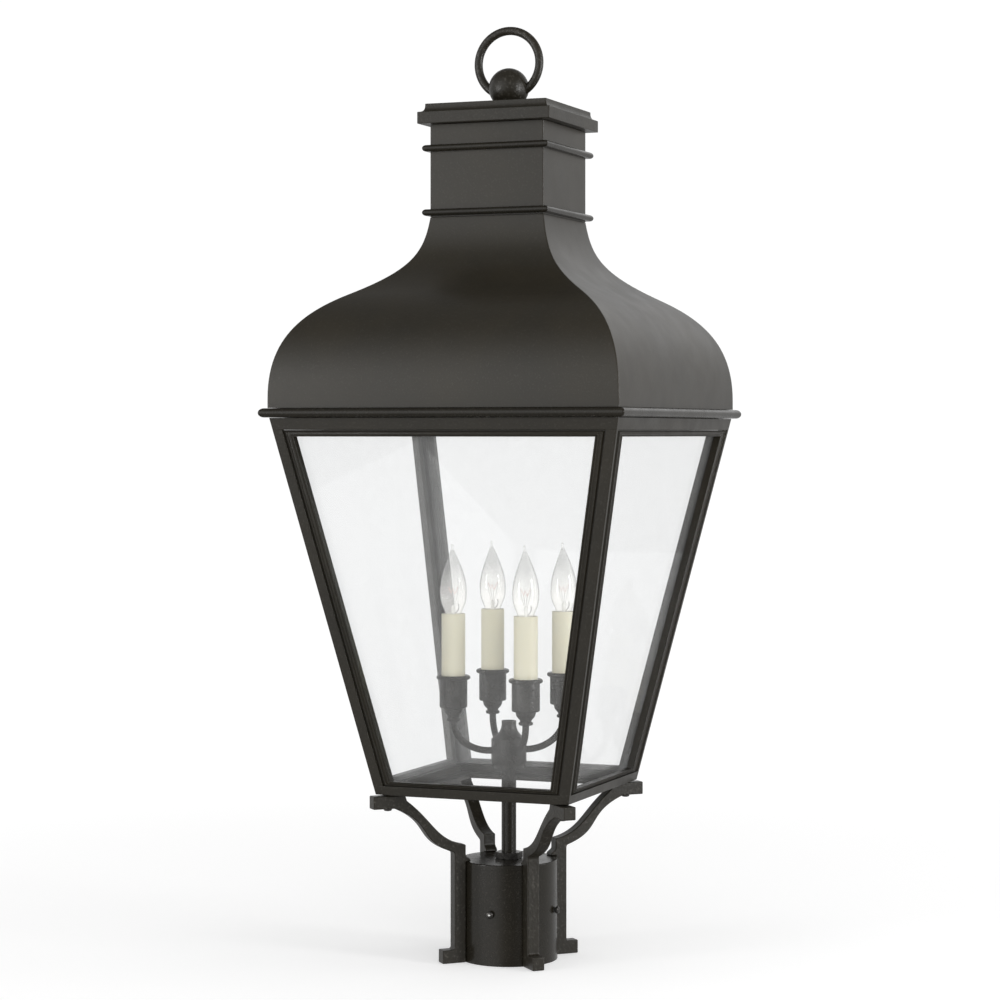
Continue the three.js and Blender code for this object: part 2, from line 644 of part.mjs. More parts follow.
function addCups() {
  const armHole = ARM_RADIUS + GAP;
  const sleeveHole = SLEEVE_RADIUS + GAP;
  const profile = [
    [armHole, CUP_Z],
    [5.4, CUP_Z],
    [6.6, CUP_Z + 1.4],
    [5.6, CUP_Z + 2.9],
    [5.4, CUP_Z + 4.6],
    [7.4, CUP_Z + 7.6],
    [8.6, CUP_Z + 9.6],
    [8.8, CUP_Z + 11],
    [11.4, CUP_Z + 12.2],
    [13.35, CUP_Z + 14.4],
    [13.35, CUP_LIP_Z - 4.4],
    [15.4, CUP_LIP_Z - 4],
    [16.2, CUP_LIP_Z - 2.4],
    [15.6, CUP_LIP_Z - 0.4],
    [sleeveHole + 0.6, CUP_LIP_Z],
    [sleeveHole, CUP_LIP_Z - 0.6],
    [sleeveHole, SLEEVE_BOTTOM_Z - GAP],
    [armHole, SLEEVE_BOTTOM_Z - GAP],
  ];
  for (let i = 0; i < 4; i += 1) {
    addPiece(`cup_${i + 1}`, atCandle(turned(profile, SMALL_SIDES), i), 'bronze');
  }
}

function addSleevesAndSockets() {
  for (let i = 0; i < 4; i += 1) {
    const sleeve = turned([
      [SLEEVE_RADIUS - SLEEVE_WALL, SLEEVE_BOTTOM_Z],
      [SLEEVE_RADIUS, SLEEVE_BOTTOM_Z],
      [SLEEVE_RADIUS, SLEEVE_TOP_Z],
      [SLEEVE_RADIUS - SLEEVE_WALL, SLEEVE_TOP_Z],
    ], SMALL_SIDES);
    addPiece(`sleeve_${i + 1}`, atCandle(sleeve, i), 'ivory');
    const socket = turned([
      [0, SOCKET_BOTTOM_Z],
      [SOCKET_RADIUS, SOCKET_BOTTOM_Z],
      [SOCKET_RADIUS, SOCKET_TOP_Z],
      [SOCKET_BORE, SOCKET_TOP_Z],
      [SOCKET_BORE, SOCKET_BOTTOM_Z + SOCKET_FLOOR],
      [0, SOCKET_BOTTOM_Z + SOCKET_FLOOR],
    ], SMALL_SIDES);
    addPiece(`socket_${i + 1}`, atCandle(socket, i), 'porcelain');
  }
}

// The bulb's outline: contact button, screw base, neck, flame-shaped glass and drawn-out tip.
function bulbProfile() {
  const neckZ = BULB_BASE_Z + 22;
  const neck = new THREE.CubicBezierCurve(
    new THREE.Vector2(BULB_BASE_RADIUS, neckZ),
    new THREE.Vector2(BULB_BASE_RADIUS, neckZ + 28),
    new THREE.Vector2(BULB_RADIUS, BULB_WAIST_Z - 19),
    new THREE.Vector2(BULB_RADIUS, BULB_WAIST_Z),
  ).getPoints(6);
  const flame = new THREE.CubicBezierCurve(
    new THREE.Vector2(BULB_RADIUS, BULB_WAIST_Z),
    new THREE.Vector2(BULB_RADIUS, BULB_WAIST_Z + 16),
    new THREE.Vector2(4.6, BULB_TOP_Z - 15.2),
    new THREE.Vector2(BULB_TIP_RADIUS, BULB_TOP_Z - 3),
  ).getPoints(7).slice(1);
  const glass = [...neck, ...flame].map((point) => [point.x, point.y]);
  return [
    [0, BULB_BASE_Z],
    [2.4, BULB_BASE_Z],
    [BULB_BASE_RADIUS, BULB_BASE_Z + 3],
    ...glass,
    [BULB_TIP_RADIUS, BULB_TOP_Z - 0.8],
    [0, BULB_TOP_Z],
  ];
}

// Bends the top of an upright bulb sideways, more and more towards its tip.
function bendTip(geometry) {
  const position = geometry.attributes.position;
  for (let i = 0; i < position.count; i += 1) {
    const rise = Math.max(0, (position.getZ(i) - BULB_WAIST_Z) / (BULB_TOP_Z - BULB_WAIST_Z));
    position.setX(i, position.getX(i) - BULB_TIP_LEAN * rise ** 3);
  }
  return geometry;
}

function addBulbs() {
  const leanDirection = degrees(22);
  for (let i = 0; i < 4; i += 1) {
    const bulb = bendTip(turned(bulbProfile(), SMALL_SIDES)).rotateZ(leanDirection - candleAngle(i));
    addPiece(`bulb_${i + 1}`, atCandle(bulb, i), 'glass');
  }
}

addRoof();
addChimneyAndCap();
addFinial();
addRails();
addCornerPosts();
addGlazing();
addLegs();
addFitter();
addStem();
addArms();
addCups();
addSleevesAndSockets();
addBulbs();

export default lantern;
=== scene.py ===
"""The looks of a four-light post lantern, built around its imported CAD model. Metres, +Z up."""

import math

import bmesh
import bpy
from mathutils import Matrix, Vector


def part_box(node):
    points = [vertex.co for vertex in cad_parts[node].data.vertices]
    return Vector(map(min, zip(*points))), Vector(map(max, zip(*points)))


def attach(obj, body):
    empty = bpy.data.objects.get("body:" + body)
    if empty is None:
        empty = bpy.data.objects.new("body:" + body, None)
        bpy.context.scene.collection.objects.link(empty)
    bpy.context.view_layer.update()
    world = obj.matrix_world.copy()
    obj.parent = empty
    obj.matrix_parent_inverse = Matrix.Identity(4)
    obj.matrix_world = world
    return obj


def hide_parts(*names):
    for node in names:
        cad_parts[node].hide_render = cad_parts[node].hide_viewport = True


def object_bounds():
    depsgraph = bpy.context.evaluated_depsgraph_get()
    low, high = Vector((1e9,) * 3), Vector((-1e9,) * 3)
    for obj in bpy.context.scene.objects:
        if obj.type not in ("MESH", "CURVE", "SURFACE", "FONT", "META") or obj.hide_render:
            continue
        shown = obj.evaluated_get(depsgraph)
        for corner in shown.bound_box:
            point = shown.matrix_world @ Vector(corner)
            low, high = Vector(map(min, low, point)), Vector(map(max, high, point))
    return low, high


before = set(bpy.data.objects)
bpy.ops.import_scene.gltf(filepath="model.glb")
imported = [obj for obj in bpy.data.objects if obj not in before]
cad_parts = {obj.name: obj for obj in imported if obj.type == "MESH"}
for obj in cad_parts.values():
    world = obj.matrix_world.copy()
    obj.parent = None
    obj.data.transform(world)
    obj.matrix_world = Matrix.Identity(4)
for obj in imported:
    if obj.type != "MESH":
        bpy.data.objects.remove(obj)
cad_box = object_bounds()

MM = 0.001
X, Y, Z = 0, 1, 2
UP = Vector((0, 0, 1))
FACES = ("front", "right", "back", "left")
FOUR = range(4)
NUMBERS = (1, 2, 3, 4)  # of the pieces that come in fours
QUARTER_TURN = math.pi / 2
ROUND = 96  # segments of the large turned pieces
MEDIUM = 64  # segments of the cups, sleeves and lamps
FINE = 48  # segments of the small ones


def low(node, axis):
    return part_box(node)[0][axis]


def high(node, axis):
    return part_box(node)[1][axis]


def middle(node):
    lowest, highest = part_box(node)
    return (lowest + highest) / 2


def heights(node):
    return low(node, Z), high(node, Z)


def half_width(node):
    return (high(node, X) - low(node, X)) / 2


def as_data(name, mesh):
    data = bpy.data.meshes.new(name)
    mesh.to_mesh(data)
    mesh.free()
    return data


def placed(name, data):
    """A new object in the scene."""
    made = bpy.data.objects.new(name, data)
    bpy.context.scene.collection.objects.link(made)
    return made


# ---- node steps


class Nodes:
    """A node tree, and the steps that the world and the materials share."""

    def __init__(self, tree):
        self.tree = tree

    def node(self, kind, **inputs):
        made = self.tree.nodes.new(kind)
        for name, value in inputs.items():
            made.inputs[name].default_value = value
        return made

    def link(self, source, target):
        self.tree.links.new(source, target)

    def maths(self, operation, *values, kind="ShaderNodeMath"):
        """The outcome of a maths step on sockets, numbers or vectors."""
        made = self.tree.nodes.new(kind)
        made.operation = operation
        for target, value in zip(made.inputs, values):
            if isinstance(value, bpy.types.NodeSocket):
                self.link(value, target)
            else:
                target.default_value = value
        return made.outputs["Value"]

    def part(self, vector, axis):
        split = self.node("ShaderNodeSeparateXYZ")
        self.link(vector, split.inputs[0])
        return split.outputs[axis]

    def ramp(self, source, stops):
        made = self.tree.nodes.new("ShaderNodeValToRGB")
        elements = made.color_ramp.elements
        for element, (position, colour) in zip(elements, (stops[0], stops[-1])):
            element.position = position
            element.color = (*colour, 1)
        for position, colour in stops[1:-1]:
            elements.new(position).color = (*colour, 1)
        self.link(source, made.inputs[0])
        return made.outputs[0]

    def between(self, source, least, most, start=0.3, end=0.7):
        """From least, where the source is at start, to most, where it is at end."""
        made = self.node("ShaderNodeMapRange")
        for name, value in (("From Min", start), ("From Max", end), ("To Min", least), ("To Max", most)):
            made.inputs[name].default_value = value
        self.link(source, made.inputs["Value"])
        return made.outputs[0]

    def mixed(self, share, one, other):
        """Two shaders, by the share of the other one."""
        made = self.node("ShaderNodeMixShader")
        for target, source in zip(made.inputs, (share, one, other)):
            self.link(source, target)
        return made.outputs[0]


class Shader(Nodes):
    """A material with one Principled shader, and the steps that the finishes share."""

    def __init__(self, name, **values):
        self.material = bpy.data.materials.new(name)
        self.material.use_nodes = True
        super().__init__(self.material.node_tree)
        self.principled = self.tree.nodes["Principled BSDF"]
        for socket, value in values.items():
            self.principled.inputs[socket.replace("_", " ")].default_value = value
        self.place = self.node("ShaderNodeTexCoord").outputs["Object"]

    def noise(self, scale, detail, stretch=None):
        made = self.node("ShaderNodeTexNoise", Scale=scale, Detail=detail, Roughness=0.55)
        place = self.place
        if stretch is not None:
            mapping = self.node("ShaderNodeMapping", Scale=stretch)
            self.link(place, mapping.inputs["Vector"])
            place = mapping.outputs[0]
        self.link(place, made.inputs["Vector"])
        return made.outputs["Fac"]

    def colour(self, source):
        self.link(source, self.principled.inputs["Base Color"])

    def roughness(self, source):
        self.link(source, self.principled.inputs["Roughness"])

    def bumps(self, *layers):
        """Layers of (height, distance in metres, strength), each one on top of the last."""
        normal = None
        for height, distance, strength in layers:
            bump = self.node("ShaderNodeBump", Distance=distance, Strength=strength)
            self.link(height, bump.inputs["Height"])
            if normal is not None:
                self.link(normal, bump.inputs["Normal"])
            normal = bump.outputs[0]
        self.link(normal, self.principled.inputs["Normal"])

    def finish(self, tones, gloss, *bumps):
        """A plain finish. Tones are (noise, dark, pale), gloss is (noise, least and most roughness) and
        each bump is (noise, distance, strength). A noise is its scale, detail and stretch."""
        (tone, dark, pale), (shine, least, most) = tones, gloss
        self.colour(self.ramp(self.noise(*tone), [(0.3, dark), (0.7, pale)]))
        self.roughness(self.between(self.noise(*shine), least, most))
        if bumps:
            self.bumps(*((self.noise(*grain), distance, strength) for grain, distance, strength in bumps))

    def surface(self, shader):
        self.link(shader, self.tree.nodes["Material Output"].inputs["Surface"])


# ---- camera, light and floor

CAMERA_AZIMUTH = math.radians(21.63)
CAMERA_DISTANCE = 2.5265
CAMERA_HEIGHT = 0.5
FOCAL_LENGTH = 95.36  # in millimetres, like the sensor's width
SENSOR_WIDTH = 36
LENS_SHIFT = (-0.0089, -0.0669)

SOFTBOXES = (  # name, place, point it faces, width, height, power, whether gloss shows it
    ("overhead", (0.3, -0.4, 3.4), (0, 0, 0), 3.2, 3.2, 25, False),
    ("front_fill", (1.7, -2.9, 1.1), (0, 0, 0.35), 2.4, 2.0, 56, False),
    ("left_strip", (-1.9, -2.1, 0.7), (0, 0, 0.4), 0.35, 1.3, 16, True),
    ("right_strip", (2.6, -0.3, 0.7), (0, 0, 0.4), 0.45, 1.3, 30, True),
    ("right_back", (2.4, 1.1, 1.2), (0, 0, 0.5), 0.9, 1.8, 10, True),
)
BACKDROP = 1.03  # brightness of the white behind the lantern
STUDIO = (  # brightness of the studio by the sine of the height looked at
    (-1.0, 0.25), (-0.6, 0.42), (-0.4, 0.7), (-0.15, 0.82), (0.12, 0.84), (0.36, 1.0), (0.56, 0.4),
    (0.75, 0.27), (1.0, 0.25),
)
# Lobes of the studio: direction, cosine of the angle from it where the lobe begins and where it is
# full, and its level outside and inside. The first dims what the others add to.
CAMERA_SHADE = (Vector((0.44, -0.9, 0.0)), 0.8, 0.97, 1, 0.32)  # the camera and its stand
FRONT_GLOW = (Vector((-0.36, -0.9, 0.25)).normalized(), 0.72, 0.98, 0, 0.75)  # over its left shoulder
BACK_GLOW = (Vector((0.06, 0.92, 0.38)).normalized(), 0.94, 0.995, 0, 0.5)  # over the lantern's back
FLOOR_RADIUS = 45
FLOOR_GAP = 0.4 * MM
FLOOR_FADE = (0.25, 1.3)  # distances from its middle between which the floor turns plain white


def add_camera():
    data = bpy.data.cameras.new("camera")
    data.lens = FOCAL_LENGTH
    data.sensor_width = SENSOR_WIDTH
    data.shift_x, data.shift_y = LENS_SHIFT
    camera = placed("camera", data)
    camera.location = (
        CAMERA_DISTANCE * math.sin(CAMERA_AZIMUTH),
        -CAMERA_DISTANCE * math.cos(CAMERA_AZIMUTH),
        CAMERA_HEIGHT,
    )
    camera.rotation_euler = (QUARTER_TURN, 0, CAMERA_AZIMUTH)
    bpy.context.scene.camera = camera


def add_softbox(name, place, target, width, height, power, in_gloss):
    data = bpy.data.lights.new(name, "AREA")
    data.shape = "RECTANGLE"
    data.size = width
    data.size_y = height
    data.energy = power
    light = placed(name, data)
    light.location = place
    light.rotation_euler = (Vector(target) - Vector(place)).to_track_quat("-Z", "Y").to_euler()
    light.visible_camera = False
    light.visible_glossy = in_gloss


def add_world():
    """A white studio: the camera sees plain white, and the lantern is lit brighter from its sides."""
    world = bpy.data.worlds.new("studio")
    world.use_nodes = True
    bpy.context.scene.world = world
    world.node_tree.nodes.clear()
    nodes = Nodes(world.node_tree)
    look = nodes.node("ShaderNodeTexCoord").outputs["Generated"]

    def lobe(direction, begins, full, outside, inside):
        towards = nodes.maths("DOT_PRODUCT", look, direction, kind="ShaderNodeVectorMath")
        return nodes.between(towards, outside, inside, begins, full)

    share = nodes.maths("MULTIPLY_ADD", nodes.part(look, "Z"), 0.5, 0.5)
    by_height = nodes.ramp(share, [(sine / 2 + 0.5, (level, level, level)) for sine, level in STUDIO])
    glow = nodes.maths("ADD", lobe(*FRONT_GLOW), lobe(*BACK_GLOW))
    level = nodes.maths("MULTIPLY_ADD", by_height, lobe(*CAMERA_SHADE), glow)
    lit = nodes.node("ShaderNodeBackground")
    nodes.link(level, lit.inputs["Strength"])
    seen = nodes.node("ShaderNodeBackground", Color=(1, 1, 1, 1), Strength=BACKDROP)
    by_camera = nodes.node("ShaderNodeLightPath").outputs["Is Camera Ray"]
    mix = nodes.mixed(by_camera, lit.outputs[0], seen.outputs[0])
    nodes.link(mix, nodes.node("ShaderNodeOutputWorld").inputs["Surface"])


def floor_material():
    """A matt white table, lit from below as well, that runs out into the white behind it."""
    shader = Shader("floor_paint", Metallic=0.0, Specular_IOR_Level=0.1, Emission_Color=(1, 1, 1, 1),
                    Emission_Strength=0.45)
    shader.finish(((1.5, 3), (0.64, 0.64, 0.64), (0.66, 0.66, 0.66)), ((30, 3), 0.85, 0.95))
    distance = shader.maths("LENGTH", shader.place, kind="ShaderNodeVectorMath")
    white = shader.node("ShaderNodeEmission", Strength=BACKDROP)
    far = shader.between(distance, 0, 1, *FLOOR_FADE)
    shader.surface(shader.mixed(far, shader.principled.outputs[0], white.outputs[0]))
    return shader.material


def add_studio():
    add_world()
    for softbox in SOFTBOXES:
        add_softbox(*softbox)
    disc = bmesh.new()
    bmesh.ops.create_circle(disc, cap_ends=True, segments=64, radius=FLOOR_RADIUS)
    floor = placed("floor", as_data("floor", disc))
    floor.location.z = cad_box[0].z - FLOOR_GAP
    floor.visible_glossy = False
    floor.data.materials.append(floor_material())


# ---- materials


def blend(colour, share, other):
    return tuple(a * (1 - share) + b * share for a, b in zip(colour, other))


BLACK = (0.0, 0.0, 0.0)
BRONZE = (0.0142, 0.0123, 0.0084)
BRONZE_BROWN = (0.0198, 0.0164, 0.0103)
# pale tone mixed in as specks: a painted glint
PAINTED_GLINT_BRONZE = (0.046, 0.042, 0.035)
COLOUR_A, COLOUR_B, MIXED_COLOUR = 6, 7, 2  # a Mix node's sockets for colours


def bronze_material(name, grain, waves, roughness, painted_glint, ior, depth, glint_scale=620, mottle=0.05):
    """Dark bronze powder coat: a sandy grain, slow unevenness, and paler specks that are painted glints.
    Depth scales its colours down, a painted shade.
    """
    shader = Shader(name, Metallic=0.0, IOR=ior)
    # depth scales the coat's colours down: a painted shade that makes this copy darker
    dark, brown = blend(BLACK, depth, BRONZE), blend(BLACK, depth, BRONZE_BROWN)
    tone = shader.ramp(shader.noise(14, 4), [(0.32, dark), (0.55, blend(dark, 0.5, brown)), (0.75, brown)])
    # paler specks over the whole coat: painted glints
    painted_glint_mask = shader.between(shader.noise(glint_scale, 2), 0, painted_glint, 0.56, 0.74)
    mix = shader.node("ShaderNodeMix")
    mix.data_type = "RGBA"
    shader.link(painted_glint_mask, mix.inputs["Factor"])
    shader.link(tone, mix.inputs[COLOUR_A])
    mix.inputs[COLOUR_B].default_value = (*PAINTED_GLINT_BRONZE, 1)
    shader.colour(mix.outputs[MIXED_COLOUR])
    shader.roughness(shader.between(shader.noise(40, 2), roughness - mottle, roughness + mottle))
    shader.bumps(
        (shader.noise(9, 1.2, (1.6, 1.6, 0.6)), 2.2 * MM, waves),
        (shader.noise(420, 3), 0.3 * MM, grain),
        (shader.noise(150, 2), 0.35 * MM, grain * 0.4 - 0.06),
    )
    return shader.material


def plain_material(name, tones, gloss, *bumps, **values):
    shader = Shader(name, **values)
    shader.finish(tones, gloss, *bumps)
    return shader.material


def smooth_material(name, dark, pale, roughness, metallic=1.0):
    """Drawn metal or a polished insulator, with a fine unevenness."""
    gloss = ((500, 3), roughness - 0.05, roughness + 0.08)
    return plain_material(name, ((300, 3), dark, pale), gloss, ((1600, 2), 0.03 * MM, 0.3), Metallic=metallic)


def clear_material(name, head_on, tint, rim_tint_and_shade, rim_start, roughness, ripple, haze, glow=None, power=5):
    """Clear glass that shows what is behind it, with a reflection that grows towards the edges.
    Haze is the share of its surface that a pale bloom covers, and glow is (brightness, height where it is
    full, height where it has faded) of a painted glow that the glass gives off low down, in place of the
    bloom that a filament lights."""
    shader = Shader(name)
    facing = shader.node("ShaderNodeLayerWeight", Blend=0.5).outputs["Facing"]
    reflected = shader.maths("MULTIPLY_ADD", shader.maths("POWER", facing, power), 1 - head_on, head_on)
    clear = shader.node("ShaderNodeBsdfTransparent")
    # transparency darkens towards the outline: on the panes the glass's own green edge, on the lamps a
    # painted shade for the dark line that refraction draws
    shader.link(shader.ramp(facing, [(0, tint), (rim_start, tint), (1, rim_tint_and_shade)]), clear.inputs["Color"])
    bloom = shader.node("ShaderNodeBsdfDiffuse", Color=(0.9, 0.9, 0.89, 1)).outputs[0]
    if glow is not None:
        brightness, full, faded = glow
        # painted glow: the glass gives off light, full low down and gone higher up
        lit = shader.node("ShaderNodeEmission", Color=(1, 0.97, 0.93, 1))
        painted_glow_fade = shader.between(shader.part(shader.place, "Z"), brightness, 0, full, faded)
        shader.link(painted_glow_fade, lit.inputs["Strength"])
        both = shader.node("ShaderNodeAddShader")
        shader.link(bloom, both.inputs[0])
        shader.link(lit.outputs[0], both.inputs[1])
        bloom = both.outputs[0]
    bloomed = shader.between(shader.noise(60, 2), haze * 0.85, haze * 1.15)
    gloss = shader.node("ShaderNodeBsdfAnisotropic", Roughness=roughness)
    shader.link(shader.between(shader.noise(140, 3), roughness, roughness + 0.03), gloss.inputs["Roughness"])
    bump = shader.node("ShaderNodeBump", Distance=0.4 * MM, Strength=ripple)
    shader.link(shader.noise(22, 2), bump.inputs["Height"])
    shader.link(bump.outputs[0], gloss.inputs["Normal"])
    shader.tree.nodes.remove(shader.principled)
    shader.surface(shader.mixed(reflected, shader.mixed(bloomed, clear.outputs[0], bloom), gloss.outputs[0]))
    return shader.material


# Copies of one coat. The lower depth of the bar, cast and turned copies is painted shade that darkens the
# rails, legs, beads, eave moulding and fitter.
SHEET_BRONZE = bronze_material(
    "bronze_sheet", grain=0.22, waves=0.04, roughness=0.37, painted_glint=0.3, ior=1.46, depth=1.0, mottle=0.02
)
BAR_BRONZE = bronze_material(
    "bronze_bar", grain=0.5, waves=0.05, roughness=0.38, painted_glint=0.5, ior=1.42, depth=0.85
)
CAST_BRONZE = bronze_material(
    "bronze_cast", grain=0.9, waves=0.1, roughness=0.36, painted_glint=1, ior=1.42, depth=0.8, glint_scale=380
)
TURNED_BRONZE = bronze_material(
    "bronze_turned", grain=0.2, waves=0.04, roughness=0.25, painted_glint=0.3, ior=1.4, depth=0.6
)
SCREW_STEEL = plain_material(
    "blackened_steel", ((260, 3), (0.045, 0.043, 0.04), (0.10, 0.095, 0.09)), ((420, 3), 0.22, 0.4),
    ((1500, 2), 0.05 * MM, 0.4), Metallic=0.85,
)
IVORY = plain_material(  # the candle sleeves: a moulded cream plastic with a faint unevenness
    "ivory_sleeve", ((38, 4, (1, 1, 0.3)), (0.66, 0.625, 0.48), (0.69, 0.66, 0.515)), ((160, 3), 0.4, 0.52),
    ((60, 3, (1, 1, 0.4)), 0.5 * MM, 0.25), ((1400, 2), 0.05 * MM, 0.3),
    Metallic=0.0, Subsurface_Weight=0.12, Subsurface_Radius=(0.004, 0.003, 0.002),
)
LAMPHOLDER = plain_material(
    "lampholder_plastic", ((90, 3), (0.60, 0.57, 0.50), (0.68, 0.65, 0.58)), ((200, 3), 0.34, 0.46),
    ((800, 2), 0.05 * MM, 0.3), Metallic=0.0,
)
BRASS = smooth_material("brass", (0.62, 0.42, 0.17), (0.75, 0.54, 0.25), 0.25)
# pale finish of the screws' cross recesses: bare steel, and a painted glint that its pale colour gives
BARE_STEEL_AND_GLINT = smooth_material("bare_steel_and_glint", (0.82, 0.82, 0.80), (0.93, 0.93, 0.91), 0.3, metallic=0.4)
WIRE = smooth_material("nickel_wire", (0.14, 0.13, 0.12), (0.22, 0.21, 0.19), 0.35)
FILAMENT = plain_material(  # a fine coil that glows a dull pink
    "lit_filament", ((400, 2), (0.42, 0.16, 0.11), (0.58, 0.28, 0.2)), ((500, 3), 0.35, 0.5),
    Metallic=0.0, Emission_Color=(1, 0.45, 0.3, 1), Emission_Strength=0.12,
)
INSULATOR = smooth_material(
    "black_insulator", (0.012, 0.012, 0.014), (0.03, 0.03, 0.034), 0.15, metallic=0.0
)
PANE_GLASS = clear_material(
    "pane_glass", head_on=0.03, tint=(0.981, 0.983, 0.984), rim_tint_and_shade=(0.84, 0.88, 0.87), rim_start=0.75,
    roughness=0.01, ripple=0.04, haze=0.04, power=8,
)
# the lamp glass gives off a painted glow near its filament
BULB_GLASS = clear_material(
    "bulb_glass", head_on=0.04, tint=(0.99, 0.99, 0.985), rim_tint_and_shade=(0.45, 0.47, 0.48), rim_start=0.72,
    roughness=0.0, ripple=0.1, haze=0.12, glow=(0.8, 340 * MM, 374 * MM),
)
SEAL_GLASS = smooth_material("seal_glass", (0.72, 0.72, 0.70), (0.82, 0.82, 0.80), 0.2, metallic=0.0)


# ---- mesh helpers

ON_AXIS = 1e-7  # a radius that counts as none
NEARLY_STRAIGHT = -0.94  # cosine between the two sides of a point that needs no rounding
CORNER_STEPS = 4
EDGE_SEGMENTS = 3
EDGE_ANGLE = 38  # degrees past which an edge is rounded
SHARP_ANGLE = 42  # degrees past which an edge is shaded sharp


def line(*points):
    return [Vector(point) for point in points]


def bezier(a, b, c, d, steps):
    """Points on a cubic curve from a to d, both ends included."""
    a, b, c, d = line(a, b, c, d)
    found = []
    for i in range(steps + 1):
        t = i / steps
        s = 1 - t
        found.append(a * s**3 + b * 3 * s * s * t + c * 3 * s * t * t + d * t**3)
    return found


def full_turn(count):
    """Angles spread evenly round a circle."""
    return [2 * math.pi * k / count for k in range(count)]


def level_axes(angle):
    """The level direction at an angle about Z, and the one square to it."""
    cosine, sine = math.cos(angle), math.sin(angle)
    return Vector((cosine, sine, 0)), Vector((-sine, cosine, 0))


def arc(centre, radius, start, end, steps):
    """Points on an arc, with its angles in degrees anticlockwise."""
    found = []
    for i in range(steps + 1):
        angle = math.radians(start + (end - start) * i / steps)
        found.append(Vector((centre[0] + radius * math.cos(angle), centre[1] + radius * math.sin(angle))))
    return found


def filleted(points, radius, closed=True, steps=3):
    """The same line of points with its corners rounded."""
    points = line(*points)
    found = []
    for i, point in enumerate(points):
        if not closed and i in (0, len(points) - 1):
            found.append(point)
            continue
        back = points[i - 1] - point
        ahead = points[(i + 1) % len(points)] - point
        if back.normalized().dot(ahead.normalized()) < NEARLY_STRAIGHT:
            found.append(point)
            continue
        reach = min(radius, back.length * 0.45, ahead.length * 0.45)
        start = point + back.normalized() * reach
        end = point + ahead.normalized() * reach
        for k in range(steps + 1):
            t = k / steps
            found.append(start * (1 - t) ** 2 + point * 2 * t * (1 - t) + end * t * t)
    return found


def smooth_line(points, steps):
    """A smooth line through points, each span cut into steps."""
    points = line(*points)
    ends = [points[0] * 2 - points[1], *points, points[-1] * 2 - points[-2]]
    found = []
    for a, b, c, d in zip(ends, ends[1:], ends[2:], ends[3:]):
        for k in range(steps):
            t = k / steps
            found.append(
                0.5 * (b * 2 + (c - a) * t + (a * 2 - b * 5 + c * 4 - d) * t * t
                       + (b * 3 - a - c * 3 + d) * t**3)
            )
    return [*found, points[-1]]


def bridge(mesh, one, other):
    """Faces between two loops of the same number of vertices, or a loop and a single vertex."""
    count = max(len(one), len(other))
    for i in range(count):
        j = (i + 1) % count
        if len(one) == 1:
            mesh.faces.new((one[0], other[j], other[i]))
        elif len(other) == 1:
            mesh.faces.new((one[i], one[j], other[0]))
        else:
            mesh.faces.new((one[i], one[j], other[j], other[i]))


def stacked(loops, closed):
    """A solid through loops of points. Closed joins the last loop to the first, or else loops of
    more than one point at the two ends are capped."""
    mesh = bmesh.new()
    rings = [[mesh.verts.new(point) for point in loop] for loop in loops]
    for one, other in zip(rings, rings[1:]):
        bridge(mesh, one, other)
    if closed:
        bridge(mesh, rings[-1], rings[0])
    else:
        for end in (rings[0], rings[-1]):
            if len(end) > 2:
                mesh.faces.new(end)
    bmesh.ops.recalc_face_normals(mesh, faces=mesh.faces)
    return mesh


def joined(meshes):
    """Several meshes as one."""
    whole = bmesh.new()
    for mesh in meshes:
        data = as_data("part", mesh)
        whole.from_mesh(data)
        bpy.data.meshes.remove(data)
    return whole


def around(profile, centre, loop):
    """A solid about a vertical axis from a profile of (reach, height), and the loop at each."""
    loops = [
        [Vector((*centre, height))] if reach < ON_AXIS else loop(reach, height) for reach, height in profile
    ]
    return stacked(loops, closed=len(loops[0]) > 1 and len(loops[-1]) > 1)


def turned(profile, segments, centre=(0, 0)):
    """A solid of revolution about a vertical axis. The profile is (radius, height)."""
    x, y = centre
    angles = full_turn(segments)

    def circle(radius, height):
        return [Vector((x + radius * math.cos(a), y + radius * math.sin(a), height)) for a in angles]

    return around(profile, centre, circle)


def square_shell(profile, corner):
    """A square solid with rounded corners about the Z axis. The profile is (half-width, height)."""

    def square(half, height):
        radius = min(corner, half / 2)
        loop = []
        for quarter in FOUR:
            base = QUARTER_TURN * quarter
            cx = (half - radius) * (math.cos(base) - math.sin(base))
            cy = (half - radius) * (math.sin(base) + math.cos(base))
            for k in range(CORNER_STEPS + 1):
                angle = base + QUARTER_TURN * k / CORNER_STEPS
                loop.append(Vector((cx + radius * math.cos(angle), cy + radius * math.sin(angle), height)))
        return loop

    return around(profile, (0, 0), square)


def tube(path, radius, sides, closed=False):
    """A round bar along a path of points."""
    path = line(*path)
    count = len(path)
    angles = full_turn(sides)
    side = None
    loops = []
    for i, point in enumerate(path):
        ahead = path[(i + 1) % count] if closed or i < count - 1 else point
        behind = path[i - 1] if closed or i > 0 else point
        along = (ahead - behind).normalized()
        if side is None:
            side = along.orthogonal().normalized()
        side = (side - along * side.dot(along)).normalized()
        other = along.cross(side)
        loops.append([point + radius * (side * math.cos(a) + other * math.sin(a)) for a in angles])
    return stacked(loops, closed)


def plate(outline, thickness, along, across):
    """A flat bar from an outline of (distance along, height), centred on the plane through Z."""
    loops = []
    for side in (-thickness / 2, thickness / 2):
        loops.append([along * p[0] + UP * p[1] + across * side for p in outline])
    return stacked(loops, closed=False)


